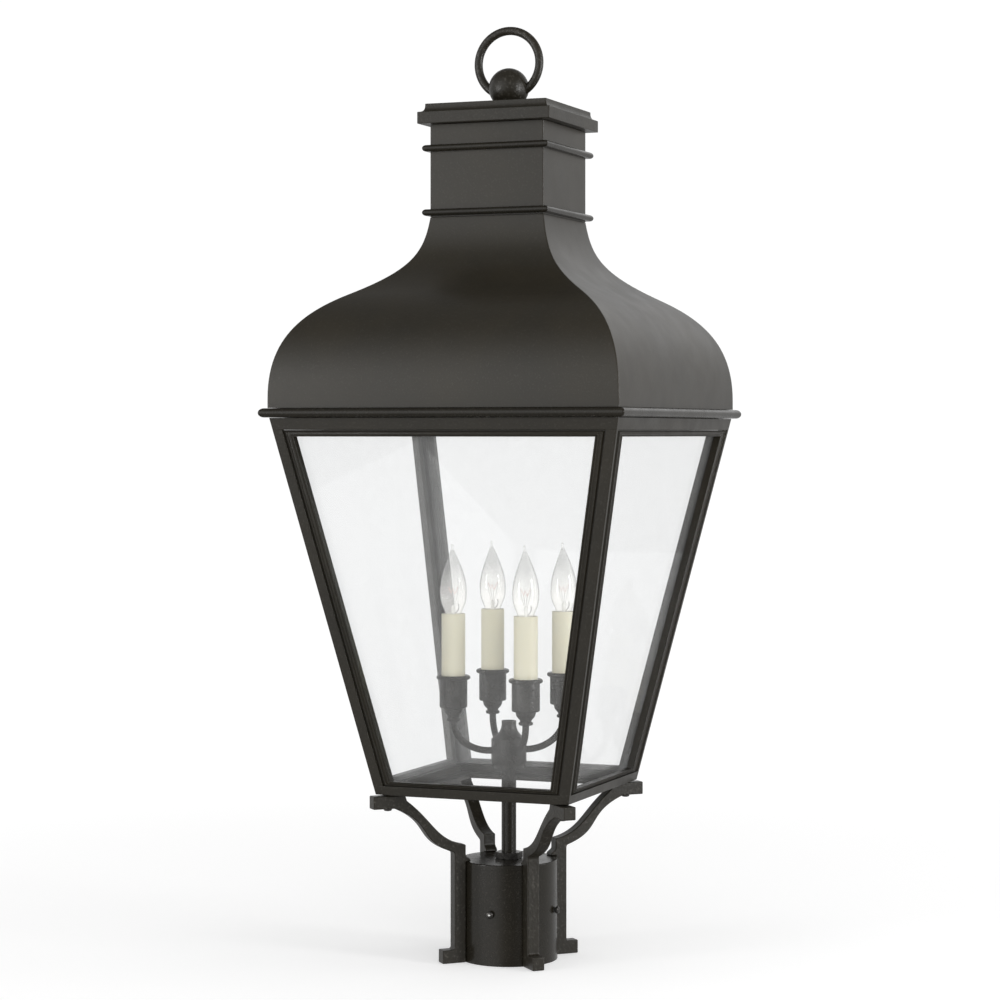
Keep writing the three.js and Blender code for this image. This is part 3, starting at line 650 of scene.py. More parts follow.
def combined(mesh, operation, *tools):
    """A solid with others cut from it, or the part of it that lies in them."""
    target, *cutters = [placed("tool", as_data("tool", part)) for part in (mesh, *tools)]
    for cutter in cutters:
        step = target.modifiers.new("step", "BOOLEAN")
        step.operation = operation
        step.solver = "EXACT"
        step.object = cutter
    shown = target.evaluated_get(bpy.context.evaluated_depsgraph_get())
    found = bmesh.new()
    found.from_mesh(shown.to_mesh())
    shown.to_mesh_clear()
    for thing in (target, *cutters):
        data = thing.data
        bpy.data.objects.remove(thing)
        bpy.data.meshes.remove(data)
    return found


def turn_about_z(mesh, angle):
    cosine, sine = math.cos(angle), math.sin(angle)
    for vertex in mesh.verts:
        x, y = vertex.co.x, vertex.co.y
        vertex.co.x = x * cosine - y * sine
        vertex.co.y = x * sine + y * cosine
    return mesh


def shift(mesh, offset):
    for vertex in mesh.verts:
        vertex.co += Vector(offset)
    return mesh


def soften(piece, width):
    """Rounds a piece's edges with a bevel."""
    bevel = piece.modifiers.new("rounded_edges", "BEVEL")
    bevel.width = width
    bevel.segments = EDGE_SEGMENTS
    bevel.limit_method = "ANGLE"
    bevel.angle_limit = math.radians(EDGE_ANGLE)


def even_shading(piece):
    weighted = piece.modifiers.new("even_shading", "WEIGHTED_NORMAL")
    weighted.keep_sharp = True


def add_piece(name, mesh, material, body="lantern", node=None, edge=None, sharp=SHARP_ANGLE,
              second=None):
    """Puts a piece on its body. Node is the CAD node it stands for, edge the width of its rounded
    edges, sharp the angle past which an edge is shaded sharp, and second the material of the faces
    marked 1."""
    data = as_data(name, mesh)
    data.materials.append(material)
    if second is not None:
        data.materials.append(second)
    data.shade_smooth()
    data.set_sharp_from_angle(angle=math.radians(sharp))
    piece = placed(name, data)
    if edge is not None:
        soften(piece, edge)
    even_shading(piece)
    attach(piece, body)
    if node is not None:
        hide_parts(node)
    return piece


def keep_node(name, material, edge=None):
    """A CAD node that stays, with its finish."""
    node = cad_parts[name]
    node.data.materials.clear()
    node.data.materials.append(material)
    if edge is not None:
        weld = node.modifiers.new("merged_corners", "WELD")
        weld.merge_threshold = 0.005 * MM
        soften(node, edge)
        even_shading(node)


# ---- roof, chimney and cap

SHEET = 1.6 * MM  # thickness of the sheet metal
SHEET_CORNER = 1.3 * MM  # radius of its upright corners
BEAD_CORNER = 1.2 * MM
EAVE_CORNER = 1.8 * MM
HEAD_INNER = 152 * MM  # half the opening of the head frame and the eave moulding
ROOF_SPRING = low("eave_bead", Z) + 17.7 * MM  # where the roof's upright skirt starts to curve
ROOF_TURN = (114.8 * MM, 629.2 * MM)  # half-width and height where convex turns to concave


def ogee(steps):
    """The roof's line: a convex lower curve that turns into a concave neck."""
    foot = (high("roof", X), ROOF_SPRING)
    neck = (high("chimney", X) + 0.1 * MM, high("roof", Z))
    turn_half, turn_height = ROOF_TURN
    lower = bezier(
        foot, (foot[0], foot[1] + 54 * MM), (turn_half + 33.4 * MM, turn_height - 18.3 * MM), ROOF_TURN,
        steps
    )
    upper = bezier(
        ROOF_TURN, (turn_half - 45.4 * MM, turn_height + 24.9 * MM),
        (neck[0] + 4.7 * MM, neck[1] - 32.8 * MM), neck, steps
    )
    return lower + upper[1:]


def set_in(points, distance):
    """A line moved to its left by a distance."""
    found = []
    for i, point in enumerate(points):
        along = (points[min(i + 1, len(points) - 1)] - points[max(i - 1, 0)]).normalized()
        found.append(Vector((point.x - along.y * distance, point.y + along.x * distance)))
    return found


def add_roof():
    outer = ogee(26)
    foot = Vector((outer[0].x, low("roof", Z)))
    inner = set_in([foot, *outer], SHEET)
    profile = [foot, *outer, *reversed(inner)]
    add_piece("roof_shell", square_shell(profile, SHEET_CORNER), SHEET_BRONZE, node="roof")


def add_beads():
    """Strips with a half-round outer edge, two on the chimney and one at the eave."""
    on_chimney = high("chimney", X) + 0.05 * MM
    for name, node, inner, corner in (
        ("lower_band", "lower_bead", on_chimney, BEAD_CORNER),
        ("upper_band", "upper_bead", on_chimney, BEAD_CORNER),
        ("eave_moulding", "eave_bead", HEAD_INNER, EAVE_CORNER),
    ):
        bottom, top = heights(node)
        radius = (top - bottom) / 2
        rounded = arc((high(node, X) - radius, (top + bottom) / 2), radius, -90, 90, 14)
        profile = line((inner, bottom), *rounded, (inner, top))
        add_piece(name, square_shell(profile, corner), TURNED_BRONZE, node=node)


def add_chimney():
    outer = high("chimney", X)
    bottom, top = heights("chimney")
    profile = filleted([
        (outer, bottom), (outer, top), (outer - SHEET, top), (outer - SHEET, bottom),
    ], 0.3 * MM)
    add_piece("chimney_box", square_shell(profile, SHEET_CORNER), SHEET_BRONZE, node="chimney")


CAP_WELL_HALF = 55 * MM  # the hollow under the cap
CAP_WELL_DEPTH = 14.2 * MM
CAP_SLAB = 11.2 * MM  # height of the cap's upright edge
CAP_STEP = 5.7 * MM  # how far its top is set in
CAP_LEDGE = 1.6 * MM


def add_cap():
    half = high("cap_plate", X)
    bottom, top = heights("cap_plate")
    slab_top = bottom + CAP_SLAB
    table_half = half - CAP_STEP
    well_top = bottom + CAP_WELL_DEPTH
    ledge = Vector((half - CAP_LEDGE, slab_top))
    cove = bezier(
        ledge, (ledge.x - 2.6 * MM, slab_top + 0.6 * MM), (table_half, slab_top + 2 * MM),
        (table_half, top - 1.2 * MM), 8
    )
    slab = filleted([
        (CAP_WELL_HALF, well_top), (CAP_WELL_HALF, bottom), (half, bottom), (half, slab_top), ledge,
    ], 0.7 * MM, closed=False)
    crown = filleted([cove[-1], (table_half, top), (0, top)], 0.8 * MM, closed=False)
    profile = line((0, well_top), *slab[:-1], *cove[:-1], *crown)
    add_piece("cap_moulding", square_shell(profile, BEAD_CORNER), BAR_BRONZE, node="cap_plate")


# ---- finial


def add_finial():
    wire = high("finial_ring", Y)
    top = high("finial_ring", Z)
    radius = high("finial_ring", X) - wire
    centre = top - wire - radius
    path = [(radius * math.sin(a), 0, centre + radius * math.cos(a)) for a in full_turn(ROUND)]
    add_piece("lifting_ring", tube(path, wire, 24, closed=True), CAST_BRONZE, node="finial_ring")

    ball_radius = high("finial_ball", Y)
    ball_middle = high("finial_ball", Z) - ball_radius
    seat = low("finial_ball", Z)
    start = math.degrees(math.asin((seat - ball_middle) / ball_radius))
    profile = line((0, seat), *arc((0, ball_middle), ball_radius, start, 90, 40))
    profile[-1].x = 0
    ball = turned(filleted(profile, 0.5 * MM, closed=False), ROUND)
    add_piece("finial_sphere", ball, CAST_BRONZE, node="finial_ball")
    keep_node("finial_bolt", SCREW_STEEL, 0.35 * MM)


# ---- glazed body

BODY_FOOT = 161.4 * MM
BODY_FOOT_HALF = 95.7 * MM
BODY_TAPER = 0.21  # growth of its half-width with height
RAIL_FOOT = 162.6 * MM
FLOOR_OPENING = 68 * MM  # half the opening in the floor frame
FLOOR_LEDGE = 84 * MM  # half the opening that its rails leave
FLOOR_STEP = 91 * MM  # half-width of the step under the rails
RAIL_EDGE = 0.45 * MM
JOINT = 0.12 * MM  # how far a post's ends go into the rails
RAIL_TOP = high("bottom_frame", Z)
HEAD_BOTTOM = low("top_frame", Z)
POST_FLAT = 10 * MM  # width of a post's faces
POST_SIDE_FLAT = 4 * MM  # width of its side face in front of the rebate
POST_REBATE = 1.8 * MM
POST_WALL = 4 * MM
CORNER = 0.8 * MM


def body_half(height):
    return BODY_FOOT_HALF + BODY_TAPER * (height - BODY_FOOT)


def add_rails():
    lip = low("bottom_frame", Z)
    flange_top = BODY_FOOT + 2 * MM
    foot = filleted([
        (FLOOR_OPENING, lip),
        (FLOOR_OPENING + SHEET, lip),
        (FLOOR_OPENING + SHEET, BODY_FOOT),
        (FLOOR_STEP, BODY_FOOT),
        (FLOOR_STEP, RAIL_FOOT),
        (body_half(RAIL_FOOT), RAIL_FOOT),
        (body_half(RAIL_TOP), RAIL_TOP),
        (FLOOR_LEDGE, RAIL_TOP),
        (FLOOR_LEDGE, flange_top),
        (FLOOR_OPENING, flange_top),
    ], RAIL_EDGE)
    add_piece("floor_frame", square_shell(foot, CORNER), BAR_BRONZE, node="bottom_frame")
    top = high("top_frame", Z)
    head = filleted([
        (HEAD_INNER, HEAD_BOTTOM),
        (body_half(HEAD_BOTTOM), HEAD_BOTTOM),
        (body_half(top), top),
        (HEAD_INNER, top),
    ], RAIL_EDGE)
    add_piece("head_frame", square_shell(head, CORNER), BAR_BRONZE, node="top_frame")


def add_posts():
    rebated_on_y = [
        (0, 0), (-POST_SIDE_FLAT, 0), (-POST_SIDE_FLAT, -POST_REBATE), (-POST_FLAT, -POST_REBATE),
        (-POST_FLAT, -POST_WALL), (-POST_WALL, -POST_WALL), (-POST_WALL, -POST_FLAT), (0, -POST_FLAT),
    ]
    rebated_on_x = [(y, x) for x, y in reversed(rebated_on_y)]
    for n in NUMBERS:
        section = filleted(rebated_on_y if n % 2 else rebated_on_x, CORNER, steps=4)
        loops = []
        for height in (RAIL_TOP - JOINT, HEAD_BOTTOM + JOINT):
            half = body_half(height)
            loops.append([Vector((half + p.x, half + p.y, height)) for p in section])
        post = turn_about_z(stacked(loops, closed=False), math.radians(90 * n - 180))
        add_piece(f"post_angle_{n}", post, BAR_BRONZE, node=f"corner_post_{n}")


MOULDING_SIDE = 9.4 * MM  # widths of the moulding along the posts, the foot and the head
MOULDING_FOOT = 4.3 * MM
MOULDING_HEAD = 6 * MM
MOULDING_GAP = 0.15 * MM

# Across the moulding as (share of its width, depth behind the face in millimetres): a groove beside
# the post, a fillet, a valley, and a round next to the glass.
MOULDING_BEAD = [(0.53 + 0.28 * k / 8, 1.2 - 0.85 * math.sin(math.pi * k / 8)) for k in range(9)]
MOULDING_SECTION = (
    (0, 7.4), (0, 2.6), (0.16, 2.6), (0.2, 1.5), (0.27, 0.7), (0.35, 0.7), (0.42, 1.5), *MOULDING_BEAD,
    (0.84, 1.2), (0.87, 0.5), (0.98, 0.5), (1, 0.8), (1, 7.4),
)


def add_mouldings():
    bottom = RAIL_TOP + MOULDING_GAP
    top = HEAD_BOTTOM - MOULDING_GAP
    for quarter, face in enumerate(FACES):
        loops = []
        for across, upper in ((-1, False), (1, False), (1, True), (-1, True)):
            loop = []
            for share, depth in MOULDING_SECTION:
                height = top - share * MOULDING_HEAD if upper else bottom + share * MOULDING_FOOT
                half = body_half(height)
                inset = POST_FLAT + MOULDING_GAP + share * MOULDING_SIDE
                loop.append(Vector((across * (half - inset), -(half - depth * MM), height)))
            loops.append(loop)
        frame_mesh = turn_about_z(stacked(loops, closed=True), QUARTER_TURN * quarter)
        add_piece(f"moulding_{face}", frame_mesh, BAR_BRONZE, node=f"glazing_frame_{face}")
        keep_node(f"glass_{face}", PANE_GLASS)


# ---- legs and fitter

FITTER_TOP = high("fitter_top", Z)
FITTER_RADIUS = high("fitter_top", X)
LEG_INNER = FITTER_RADIUS + 0.3 * MM  # distances are from the axis, along the diagonal
LEG_OUTER = 58 * MM
LEG_THICKNESS = 11.8 * MM
FOOT_OUTER = 70 * MM
FOOT_HEIGHT = 12.6 * MM
PAD_OUTER = 139.6 * MM
PAD_BOTTOM = 149 * MM
PAD_TOP = high("leg_1", Z)
LEG_CROWN = 111.2 * MM
LEG_BEND = 102 * MM
PAD_INNER = 108 * MM
PAD_INNER_BOTTOM = 118.5 * MM
LUG_HEIGHT = 7.5 * MM  # the small lug that rests on the fitter's lid
LUG_REACH = 5.2 * MM
LUG_FOOT = FITTER_TOP + 0.15 * MM
SCREW_PITCH = 0.9 * MM


def leg_outline():
    """The leg seen from its side as (distance from the axis, height), anticlockwise from its heel."""
    shoulder = (LEG_OUTER + 2 * MM, LEG_BEND + 2.9 * MM)
    under = bezier(
        shoulder, (shoulder[0] + 36.5 * MM, shoulder[1] + 12.5 * MM),
        (PAD_INNER_BOTTOM - 39.5 * MM, PAD_BOTTOM - 15.5 * MM), (PAD_INNER_BOTTOM, PAD_BOTTOM), 26
    )
    over = bezier(
        (PAD_INNER - 2 * MM, PAD_TOP - 5.5 * MM), (PAD_INNER - 29.3 * MM, PAD_TOP - 26.3 * MM),
        (LEG_INNER + 29.6 * MM, LEG_CROWN + 5.5 * MM), (LEG_INNER, LEG_CROWN), 26
    )
    lug = bezier(
        (LEG_INNER, FITTER_TOP + LUG_HEIGHT), (LEG_INNER, FITTER_TOP + LUG_HEIGHT * 0.5),
        (LEG_INNER - LUG_REACH, FITTER_TOP + LUG_HEIGHT * 0.6), (LEG_INNER - LUG_REACH, LUG_FOOT), 8
    )
    heel = arc((LEG_OUTER + 2 * MM, FOOT_HEIGHT + 2 * MM), 2 * MM, 270, 180, 5)
    bend = bezier(
        (LEG_OUTER, LEG_BEND), (LEG_OUTER, LEG_BEND + 1.6 * MM), (LEG_OUTER + 0.7 * MM, LEG_BEND + 2.6 * MM),
        shoulder, 5
    )
    return line(
        (LEG_INNER, 0), (FOOT_OUTER, 0), (FOOT_OUTER, FOOT_HEIGHT), *heel, *bend[:-1], *under,
        (PAD_OUTER, PAD_BOTTOM), (PAD_OUTER, PAD_TOP), (PAD_INNER, PAD_TOP), *over, *lug,
        (LEG_INNER, LUG_FOOT),
    )


def cross_recess(centre_height, span, width, depth):
    """Two crossed blades that cut a screwdriver's recess down from a height, on the Z axis."""
    blades = []
    for turn in (0, QUARTER_TURN):
        blade = bmesh.new()
        bmesh.ops.create_cube(blade, size=1)
        for vertex in blade.verts:
            narrow = 1 if vertex.co.z > 0 else 0.55
            vertex.co.x *= span * narrow
            vertex.co.y *= width * narrow
            vertex.co.z = centre_height + vertex.co.z * 2 * depth
        blades.append(turn_about_z(blade, turn))
    return blades


def pan_screw(head_radius, head_height, shank_radius, length):
    """A cross-recessed pan head screw, head up, with its shank's end at the origin's height."""
    shank = [(0, 0), (shank_radius - 0.7 * MM, 0)]
    for k in range(int((length - 1.2 * MM) / SCREW_PITCH)):
        height = 0.6 * MM + k * SCREW_PITCH
        shank.append((shank_radius, height + SCREW_PITCH * 0.25))
        shank.append((shank_radius - 0.3 * MM, height + SCREW_PITCH * 0.75))
    crown = bezier(
        (head_radius, length + head_height * 0.3), (head_radius, length + head_height * 0.8),
        (head_radius * 0.7, length + head_height), (0, length + head_height), 8
    )
    profile = line(
        *shank, (shank_radius, length), (head_radius - 0.15 * MM, length),
        (head_radius, length + 0.15 * MM), *crown
    )
    profile[-1].x = 0
    top = length + head_height
    recess = cross_recess(top, head_radius * 1.25, head_radius * 0.38, head_height * 0.3)
    screw = combined(turned(profile, FINE), "DIFFERENCE", *recess)
    # the recess faces are marked for the pale finish: bare steel and a painted glint
    for face in screw.faces:
        centre = face.calc_center_median()
        if length < centre.z < top - head_height * 0.12 and centre.xy.length < head_radius * 0.68:
            face.material_index = 1
    return screw


def laid(mesh, angle, height):
    """A solid made upright on Z, laid down so that its +Z points out along an angle about Z."""
    cosine, sine = math.cos(angle), math.sin(angle)
    for vertex in mesh.verts:
        x, y, z = vertex.co
        vertex.co = (z * cosine - y * sine, z * sine + y * cosine, height - x)
    return mesh


def add_legs():
    for n in NUMBERS:
        bar = plate(leg_outline(), LEG_THICKNESS, *level_axes(math.radians(90 * n - 135)))
        add_piece(f"leg_casting_{n}", bar, CAST_BRONZE, node=f"leg_{n}", edge=0.9 * MM)

        node = f"leg_screw_{n}"
        shank_top = high(node, Z)
        length = shank_top - low(node, Z) - 2.2 * MM
        screw = pan_screw(3.9 * MM, 2.2 * MM, 2 * MM, length)
        for vertex in screw.verts:
            vertex.co.z = shank_top - vertex.co.z
            vertex.co.y = -vertex.co.y
        centre = middle(node)
        shift(screw, (centre.x, centre.y, 0))
        add_piece(f"pad_screw_{n}", screw, SCREW_STEEL, node=node, second=BARE_STEEL_AND_GLINT)


SCREW_HEIGHT = middle("set_screw_front")[Z]
SCREW_TIP = 39.7 * MM  # how far the set screws' tips are from the axis
SCREW_HEAD = 3 * MM
DRILL_RADIUS = 2.8 * MM  # the screws' holes, cut from one distance off the axis to another
DRILL_SPAN = (30 * MM, 60 * MM)
FITTER_WALL_INNER = 39.5 * MM
LID_THICKNESS = 4.8 * MM
LID_EDGE = 1.1 * MM
SEAM_EDGE = 0.06 * MM


def add_fitter():
    bottom = low("fitter_tube", Z)
    seam = FITTER_TOP - LID_THICKNESS
    wall = filleted([
        (FITTER_WALL_INNER, bottom), (FITTER_RADIUS, bottom), (FITTER_RADIUS, seam - 0.05 * MM),
        (FITTER_WALL_INNER, seam - 0.05 * MM),
    ], SEAM_EDGE)
    near, far = DRILL_SPAN
    drills = []
    for quarter in FOUR:
        drill = turned([(0, near), (DRILL_RADIUS, near), (DRILL_RADIUS, far), (0, far)], 24)
        drills.append(laid(drill, QUARTER_TURN * quarter, SCREW_HEIGHT))
    pipe = combined(turned(wall, ROUND), "DIFFERENCE", *drills)
    add_piece("fitter_sleeve", pipe, TURNED_BRONZE, node="fitter_tube", sharp=30)

    stem_hole = high("stem_tube", X) + 0.1 * MM
    lid = line(
        *filleted([
            (stem_hole, low("fitter_top", Z)), (FITTER_WALL_INNER - 0.3 * MM, low("fitter_top", Z)),
            (FITTER_WALL_INNER - 0.3 * MM, seam), (FITTER_RADIUS, seam),
        ], SEAM_EDGE, closed=False),
        *arc((FITTER_RADIUS - LID_EDGE, FITTER_TOP - LID_EDGE), LID_EDGE, 0, 90, 6),
        (stem_hole, FITTER_TOP),
    )
    add_piece("fitter_lid", turned(lid, ROUND), TURNED_BRONZE, node="fitter_top")

    for quarter, side in enumerate(FACES):
        node = f"set_screw_{side}"
        lowest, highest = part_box(node)
        outer = max(abs(lowest.x), abs(lowest.y), highest.x, highest.y)
        screw = pan_screw(3.5 * MM, SCREW_HEAD, 2.5 * MM, outer - SCREW_TIP - SCREW_HEAD)
        laid(shift(screw, (0, 0, SCREW_TIP)), QUARTER_TURN * (quarter - 1), SCREW_HEIGHT)
        add_piece(f"clamp_screw_{side}", screw, SCREW_STEEL, body=node, node=node,
                  second=BARE_STEEL_AND_GLINT)


# ---- candle cluster

STEM_RADIUS = high("stem_tube", X)
HUB_BOTTOM = low("cluster_body", Z)
HUB_TOP = high("cluster_body", Z)
HUB_RADIUS = high("cluster_body", X)
NECK_RADIUS = 6.95 * MM
SHOULDER = 208.7 * MM
ARM_RADIUS = 3.2 * MM
ARM_HEIGHT = 198 * MM
STEM_BORE = 5 * MM
ROUNDNESS = 0.5523  # a cubic curve's handle for a quarter of an ellipse


def add_stem():
    bottom, top = heights("stem_tube")
    wall = filleted([
        (STEM_BORE, bottom), (STEM_RADIUS, bottom), (STEM_RADIUS, top), (STEM_BORE, top),
    ], 0.3 * MM)
    add_piece("stem_pipe", turned(wall, MEDIUM), TURNED_BRONZE, node="stem_tube")

    lowest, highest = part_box("stem_nut")
    corner = highest.y
    height = highest.z - lowest.z
    hexagon = turned([(0, lowest.z), (corner, lowest.z), (corner, highest.z), (0, highest.z)], 6)
    turn_about_z(hexagon, math.pi / 6)
    chamfer = turned([
        (0, lowest.z - MM), (corner - 2 * MM, lowest.z - MM), (corner + 1.3 * MM, lowest.z + height * 0.3),
        (corner + 1.3 * MM, highest.z - height * 0.3), (corner - 2 * MM, highest.z + MM), (0, highest.z + MM),
    ], MEDIUM)
    rounded_nut = combined(hexagon, "INTERSECT", chamfer)
    bore = turned([
        (0, lowest.z - MM), (STEM_RADIUS + 0.1 * MM, lowest.z - MM),
        (STEM_RADIUS + 0.1 * MM, highest.z + MM), (0, highest.z + MM),
    ], MEDIUM)
    add_piece("lock_nut", combined(rounded_nut, "DIFFERENCE", bore), SCREW_STEEL,
              node="stem_nut", sharp=28)


def add_hub():
    shoulder = bezier(
        (HUB_RADIUS, SHOULDER), (HUB_RADIUS - 4.2 * MM, SHOULDER + 2.6 * MM),
        (NECK_RADIUS + 1.2 * MM, SHOULDER + 5.5 * MM), (NECK_RADIUS + 0.2 * MM, SHOULDER + 12 * MM), 14
    )
    outside = filleted([
        (STEM_RADIUS + 0.05 * MM, HUB_BOTTOM), (HUB_RADIUS - 2 * MM, HUB_BOTTOM),
        (HUB_RADIUS, HUB_BOTTOM + 6 * MM), (HUB_RADIUS, SHOULDER - 0.6 * MM),
    ], 0.8 * MM, closed=False)
    crown = filleted([
        (NECK_RADIUS, HUB_TOP - 4 * MM), (NECK_RADIUS, HUB_TOP), (NECK_RADIUS - 1.5 * MM, HUB_TOP),
        (NECK_RADIUS - 1.5 * MM, HUB_TOP - 0.8 * MM), (0, HUB_TOP - 0.8 * MM),
    ], 0.25 * MM, closed=False)
    profile = line((0, HUB_BOTTOM), *outside, *shoulder, *crown)
    add_piece("cluster_hub", turned(profile, 80), TURNED_BRONZE, node="cluster_body")


SLEEVE_LIP = 3.4 * MM  # width of the sleeve's turned-in top


def candle_centre(n):
    centre = middle(f"sleeve_{n}")
    return centre.x, centre.y


def arm_path(n):
    """Level out of the hub, then an elliptical bend up into the cup."""
    x, y = candle_centre(n)
    reach = math.hypot(x, y)
    along = Vector((x / reach, y / reach, 0))
    start = HUB_RADIUS + 1 * MM
    top = low(f"cup_{n}", Z)
    flat = [
        (HUB_RADIUS - 4 * MM, ARM_HEIGHT),
        *bezier(
            (start, ARM_HEIGHT), (start + ROUNDNESS * (reach - start), ARM_HEIGHT),
            (reach, top - ROUNDNESS * (top - ARM_HEIGHT)), (reach, top), 28
        ),
        (reach, top + 16 * MM),
    ]
    return [along * p[0] + Vector((0, 0, p[1])) for p in flat]


def add_arms():
    for n in NUMBERS:
        arm = tube(arm_path(n), ARM_RADIUS, 24)
        add_piece(f"candle_arm_{n}", arm, TURNED_BRONZE, node=f"arm_{n}")


def cup_profile(node):
    """A drip pan's rolled lip, a straight cup, a step, a hollow taper and a collar on the arm."""
    bottom, lip_top = heights(node)
    lip = half_width(node)
    lip_radius = 2.05 * MM
    wall = 13.2 * MM
    step = lip_top - 31 * MM
    collar_middle = bottom + 1.7 * MM
    taper = bezier(
        (9.3 * MM, step - 2.1 * MM), (8.6 * MM, step - 6 * MM), (5.4 * MM, step - 6.5 * MM),
        (5.25 * MM, collar_middle + 1.9 * MM), 10
    )
    under_lip = lip_top - 2 * lip_radius
    body = filleted([
        (9.3 * MM, step - 2.1 * MM), (9.5 * MM, step), (wall, step + 0.4 * MM), (wall, under_lip),
        (wall + 0.6 * MM, under_lip),
    ], 3 * MM, closed=False, steps=6)
    rolled = arc((lip - lip_radius, lip_top - lip_radius), lip_radius, -90, 90, 14)
    inner = high("sleeve_1", X) - middle("sleeve_1")[X] + 0.15 * MM
    collar = arc((5.1 * MM, collar_middle), 1.7 * MM, 270, 450, 10)
    bore, floor = ARM_RADIUS - 0.1 * MM, bottom + 16.2 * MM
    return line(
        (bore, bottom), *collar, *reversed(taper[1:-1]), *body[:-1], *rolled, (inner, lip_top - 0.5 * MM),
        (inner, floor), (bore, floor),
    )


def add_candles():
    for n in NUMBERS:
        centre = candle_centre(n)
        cup = turned(cup_profile(f"cup_{n}"), MEDIUM, centre)
        add_piece(f"candle_cup_{n}", cup, TURNED_BRONZE, node=f"cup_{n}", sharp=50)

        node = f"sleeve_{n}"
        outer, (bottom, top) = half_width(node), heights(node)
        wall = filleted([
            (outer - 1.1 * MM, bottom), (outer, bottom), (outer, top), (outer - SLEEVE_LIP, top),
            (outer - SLEEVE_LIP, top - 1.2 * MM), (outer - 1.1 * MM, top - 2.2 * MM),
        ], 0.4 * MM, steps=4)
        sleeve = turned(wall, MEDIUM, centre)
        add_piece(f"candle_sleeve_{n}", sleeve, IVORY, node=node)

        node = f"socket_{n}"
        outer, (bottom, top) = half_width(node), heights(node)
        bore, floor = 6.6 * MM, bottom + 4 * MM
        holder = turned(filleted([
            (0, bottom), (outer, bottom), (outer, top), (bore, top), (bore, floor), (0, floor),
        ], 0.5 * MM, closed=False), FINE, centre)
        add_piece(f"lampholder_{n}", holder, LAMPHOLDER, node=node)


# ---- lamps

LAMP_WALL = 0.5 * MM
LAMP_RADIUS = 12.65 * MM
LAMP_WAIST = 350 * MM
LAMP_NECK = 5.95 * MM
LAMP_TIP = 1.2 * MM
THREAD_RADIUS = 5.95 * MM
THREAD_ROUND = 0.62 * MM
THREAD_PITCH = 2.54 * MM
THREAD_TURNS = 6
TIP_LEAN = Vector((-math.cos(math.radians(22)), -math.sin(math.radians(22)), 0)) * 1.4 * MM
LAMP_STEM = (  # radius and height over the sleeve's top, in millimetres
    (0, -17), (5.1, -17), (4.2, -12), (2.3, -5), (1.7, 2), (2.0, 6), (1.3, 8), (0, 8.6),
)
FILAMENT_HEADINGS = (8, -6, 3, -10)  # degrees that each filament is turned out of the camera's plane
FILAMENT_HOOKS = (  # sideways, up and deep from the sleeve's top, in millimetres
    (-4.7, 25.5, 0.6), (-2.2, 19.5, -1.6), (-0.4, 23.5, 1.2), (1.2, 18.6, -1.2), (2.6, 21.0, 1.2),
    (4.6, 26, -0.5),
)
WIRE_RADIUS = 0.16 * MM
GETTER_RADIUS = 0.42 * MM
COIL_RADIUS = 0.26 * MM
COIL_WIRE_RADIUS = 0.12 * MM
COIL_TURNS = 9  # turns between two hooks
COIL_STEPS = 8  # points in a turn


def lamp_outline(bottom, top):
    """A flame-tip lamp's glass as (radius, height), from its screw base to its drawn tip."""
    neck = bottom + 22 * MM
    lower = bezier(
        (LAMP_NECK, neck), (LAMP_NECK, neck + 28 * MM), (LAMP_RADIUS, LAMP_WAIST - 19 * MM),
        (LAMP_RADIUS, LAMP_WAIST), 30
    )
    upper = bezier(
        (LAMP_RADIUS, LAMP_WAIST), (LAMP_RADIUS, LAMP_WAIST + 16 * MM), (4.6 * MM, top - 15.2 * MM),
        (LAMP_TIP * 0.85, top - 3.6 * MM), 30
    )
    drop = arc((0, top - 1.5 * MM), LAMP_TIP * 1.2, -50, 90, 8)
    return lower + upper[1:] + drop[:-1]


def lean_tip(mesh, waist, top):
    """Bends the drawn tip of a lamp a little to one side."""
    for vertex in mesh.verts:
        rise = max(0, (vertex.co.z - waist) / (top - waist))
        vertex.co += TIP_LEAN * rise**3
    return mesh


def add_lamp_glass(n, centre, top):
    """A thin shell of glass, with an inner surface of its own."""
    body = f"bulb_{n}"
    outer = lamp_outline(low(body, Z), top)
    inner = [point for point in set_in(outer, LAMP_WALL) if point.x > 0.9 * MM and point.y < top - 6 * MM]
    outside = turned(line((0, outer[0].y), *outer, (0, top)), MEDIUM, centre)
    inner = line((0, inner[0].y + LAMP_WALL), *inner[1:], (0, inner[-1].y + 0.3 * MM))
    inside = turned(inner, MEDIUM, centre)
    bmesh.ops.reverse_faces(inside, faces=inside.faces)
    shell = lean_tip(joined([outside, inside]), LAMP_WAIST, top)
    add_piece(f"lamp_glass_{n}", shell, BULB_GLASS, body=body, node=body)


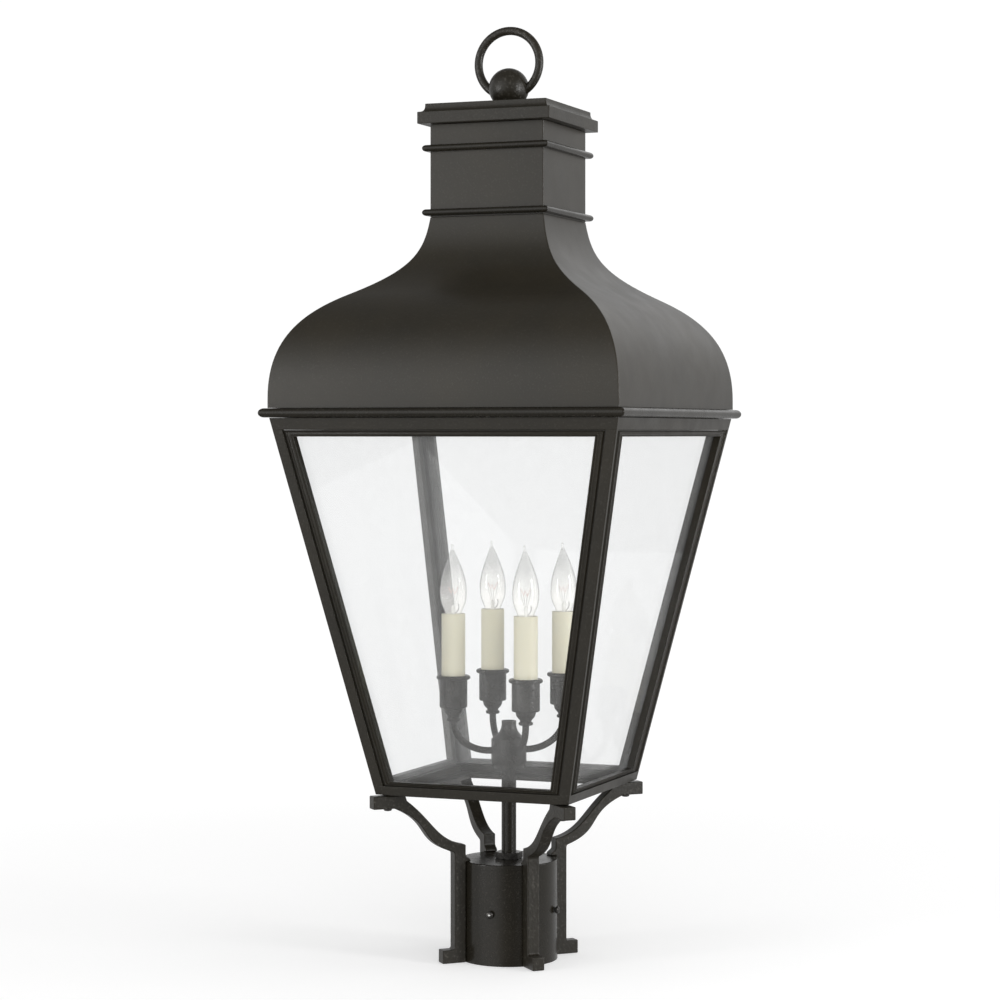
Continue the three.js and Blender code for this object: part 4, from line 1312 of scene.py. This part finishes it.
def add_lamp_base(n, centre, bottom):
    """The threaded brass shell, the black insulator and the contact under it."""
    body = f"bulb_{n}"
    shell_bottom, shell_top = bottom + 4 * MM, bottom + 21 * MM
    contact_top = bottom + 1.1 * MM
    profile = [(0, shell_bottom), (4.4 * MM, shell_bottom)]
    for k in range(THREAD_TURNS):
        height = shell_bottom + 0.9 * MM + k * THREAD_PITCH
        crest = (THREAD_RADIUS - THREAD_ROUND, height + THREAD_PITCH / 4)
        profile += arc(crest, THREAD_ROUND, -80, 80, 5)
        profile.append((THREAD_RADIUS - 0.75 * MM, height + THREAD_PITCH * 0.75))
    profile = line(*profile, (THREAD_RADIUS - 0.4 * MM, shell_top), (0, shell_top))
    insulator = filleted([
        (0, contact_top), (2.2 * MM, contact_top), (4.3 * MM, shell_bottom), (0, shell_bottom),
    ], 0.3 * MM, closed=False)
    rim = bezier(
        (0, bottom), (1.6 * MM, bottom), (2.1 * MM, bottom + 0.5 * MM), (2.1 * MM, contact_top), 6
    )
    contact = line(*rim, (0, contact_top))
    for name, outline, material in (
        ("lamp_base", profile, BRASS),
        ("lamp_insulator", insulator, INSULATOR),
        ("lamp_contact", contact, WIRE),
    ):
        add_piece(f"{name}_{n}", turned(outline, FINE, centre), material, body=body)


def add_lamp_inside(n, centre, rest):
    """The glass stem, its lead wires and supports, and the coiled filament they hold."""
    body = f"bulb_{n}"
    side, depth = level_axes(CAMERA_AZIMUTH + math.radians(FILAMENT_HEADINGS[n - 1]))
    foot = Vector((centre[0], centre[1], rest))
    stem = filleted([(radius * MM, rest + up * MM) for radius, up in LAMP_STEM], 1.5 * MM, closed=False)
    add_piece(f"lamp_stem_{n}", turned(stem, 32, centre), SEAL_GLASS, body=body)

    def at(sideways, up, deep=0.0):
        return foot + side * sideways * MM + depth * deep * MM + Vector((0, 0, up * MM))

    hooks = [at(*hook) for hook in FILAMENT_HOOKS]
    wires = (
        (at(-0.9, 4), at(-1.8, 10), at(-4.0, 18), hooks[0]),
        (at(0.9, 4), at(1.9, 10), at(3.9, 18), hooks[5]),
        (at(-0.3, 7), at(-0.9, 12), hooks[1]),
        (at(0.3, 7), at(0.6, 12), hooks[3]),
    )
    wires = joined([tube(smooth_line(wire, 6), WIRE_RADIUS, 8) for wire in wires])
    add_piece(f"lamp_wires_{n}", wires, WIRE, body=body)

    getter = smooth_line([at(1.2, 0, 1.0), at(4.2, 3.0, 0.8), at(5.2, 6.5, 0.4), at(4.8, 9.5, 0.2)], 6)
    add_piece(f"lamp_getter_{n}", tube(getter, GETTER_RADIUS, 8), INSULATOR, body=body)

    steps = COIL_TURNS * COIL_STEPS
    coil = []
    for a, b in zip(hooks, hooks[1:]):
        along = (b - a).normalized()
        one = along.orthogonal().normalized()
        two = along.cross(one)
        for k in range(steps):
            angle = 2 * math.pi * k / COIL_STEPS
            around_line = one * math.cos(angle) + two * math.sin(angle)
            coil.append(a.lerp(b, k / steps) + COIL_RADIUS * around_line)
    add_piece(f"lamp_filament_{n}", tube(coil, COIL_WIRE_RADIUS, 5), FILAMENT, body=body)


def add_lamps():
    for n in NUMBERS:
        node = f"bulb_{n}"
        centre = candle_centre(n)
        add_lamp_glass(n, centre, high(node, Z))
        add_lamp_base(n, centre, low(node, Z))
        add_lamp_inside(n, centre, high(f"sleeve_{n}", Z))


# ---- the whole lantern

add_camera()
add_studio()
add_roof()
add_beads()
add_chimney()
add_cap()
add_finial()
add_rails()
add_posts()
add_mouldings()
add_legs()
add_fitter()
add_stem()
add_hub()
add_arms()
add_candles()
add_lamps()

bpy.context.scene.view_settings.view_transform = "Standard"
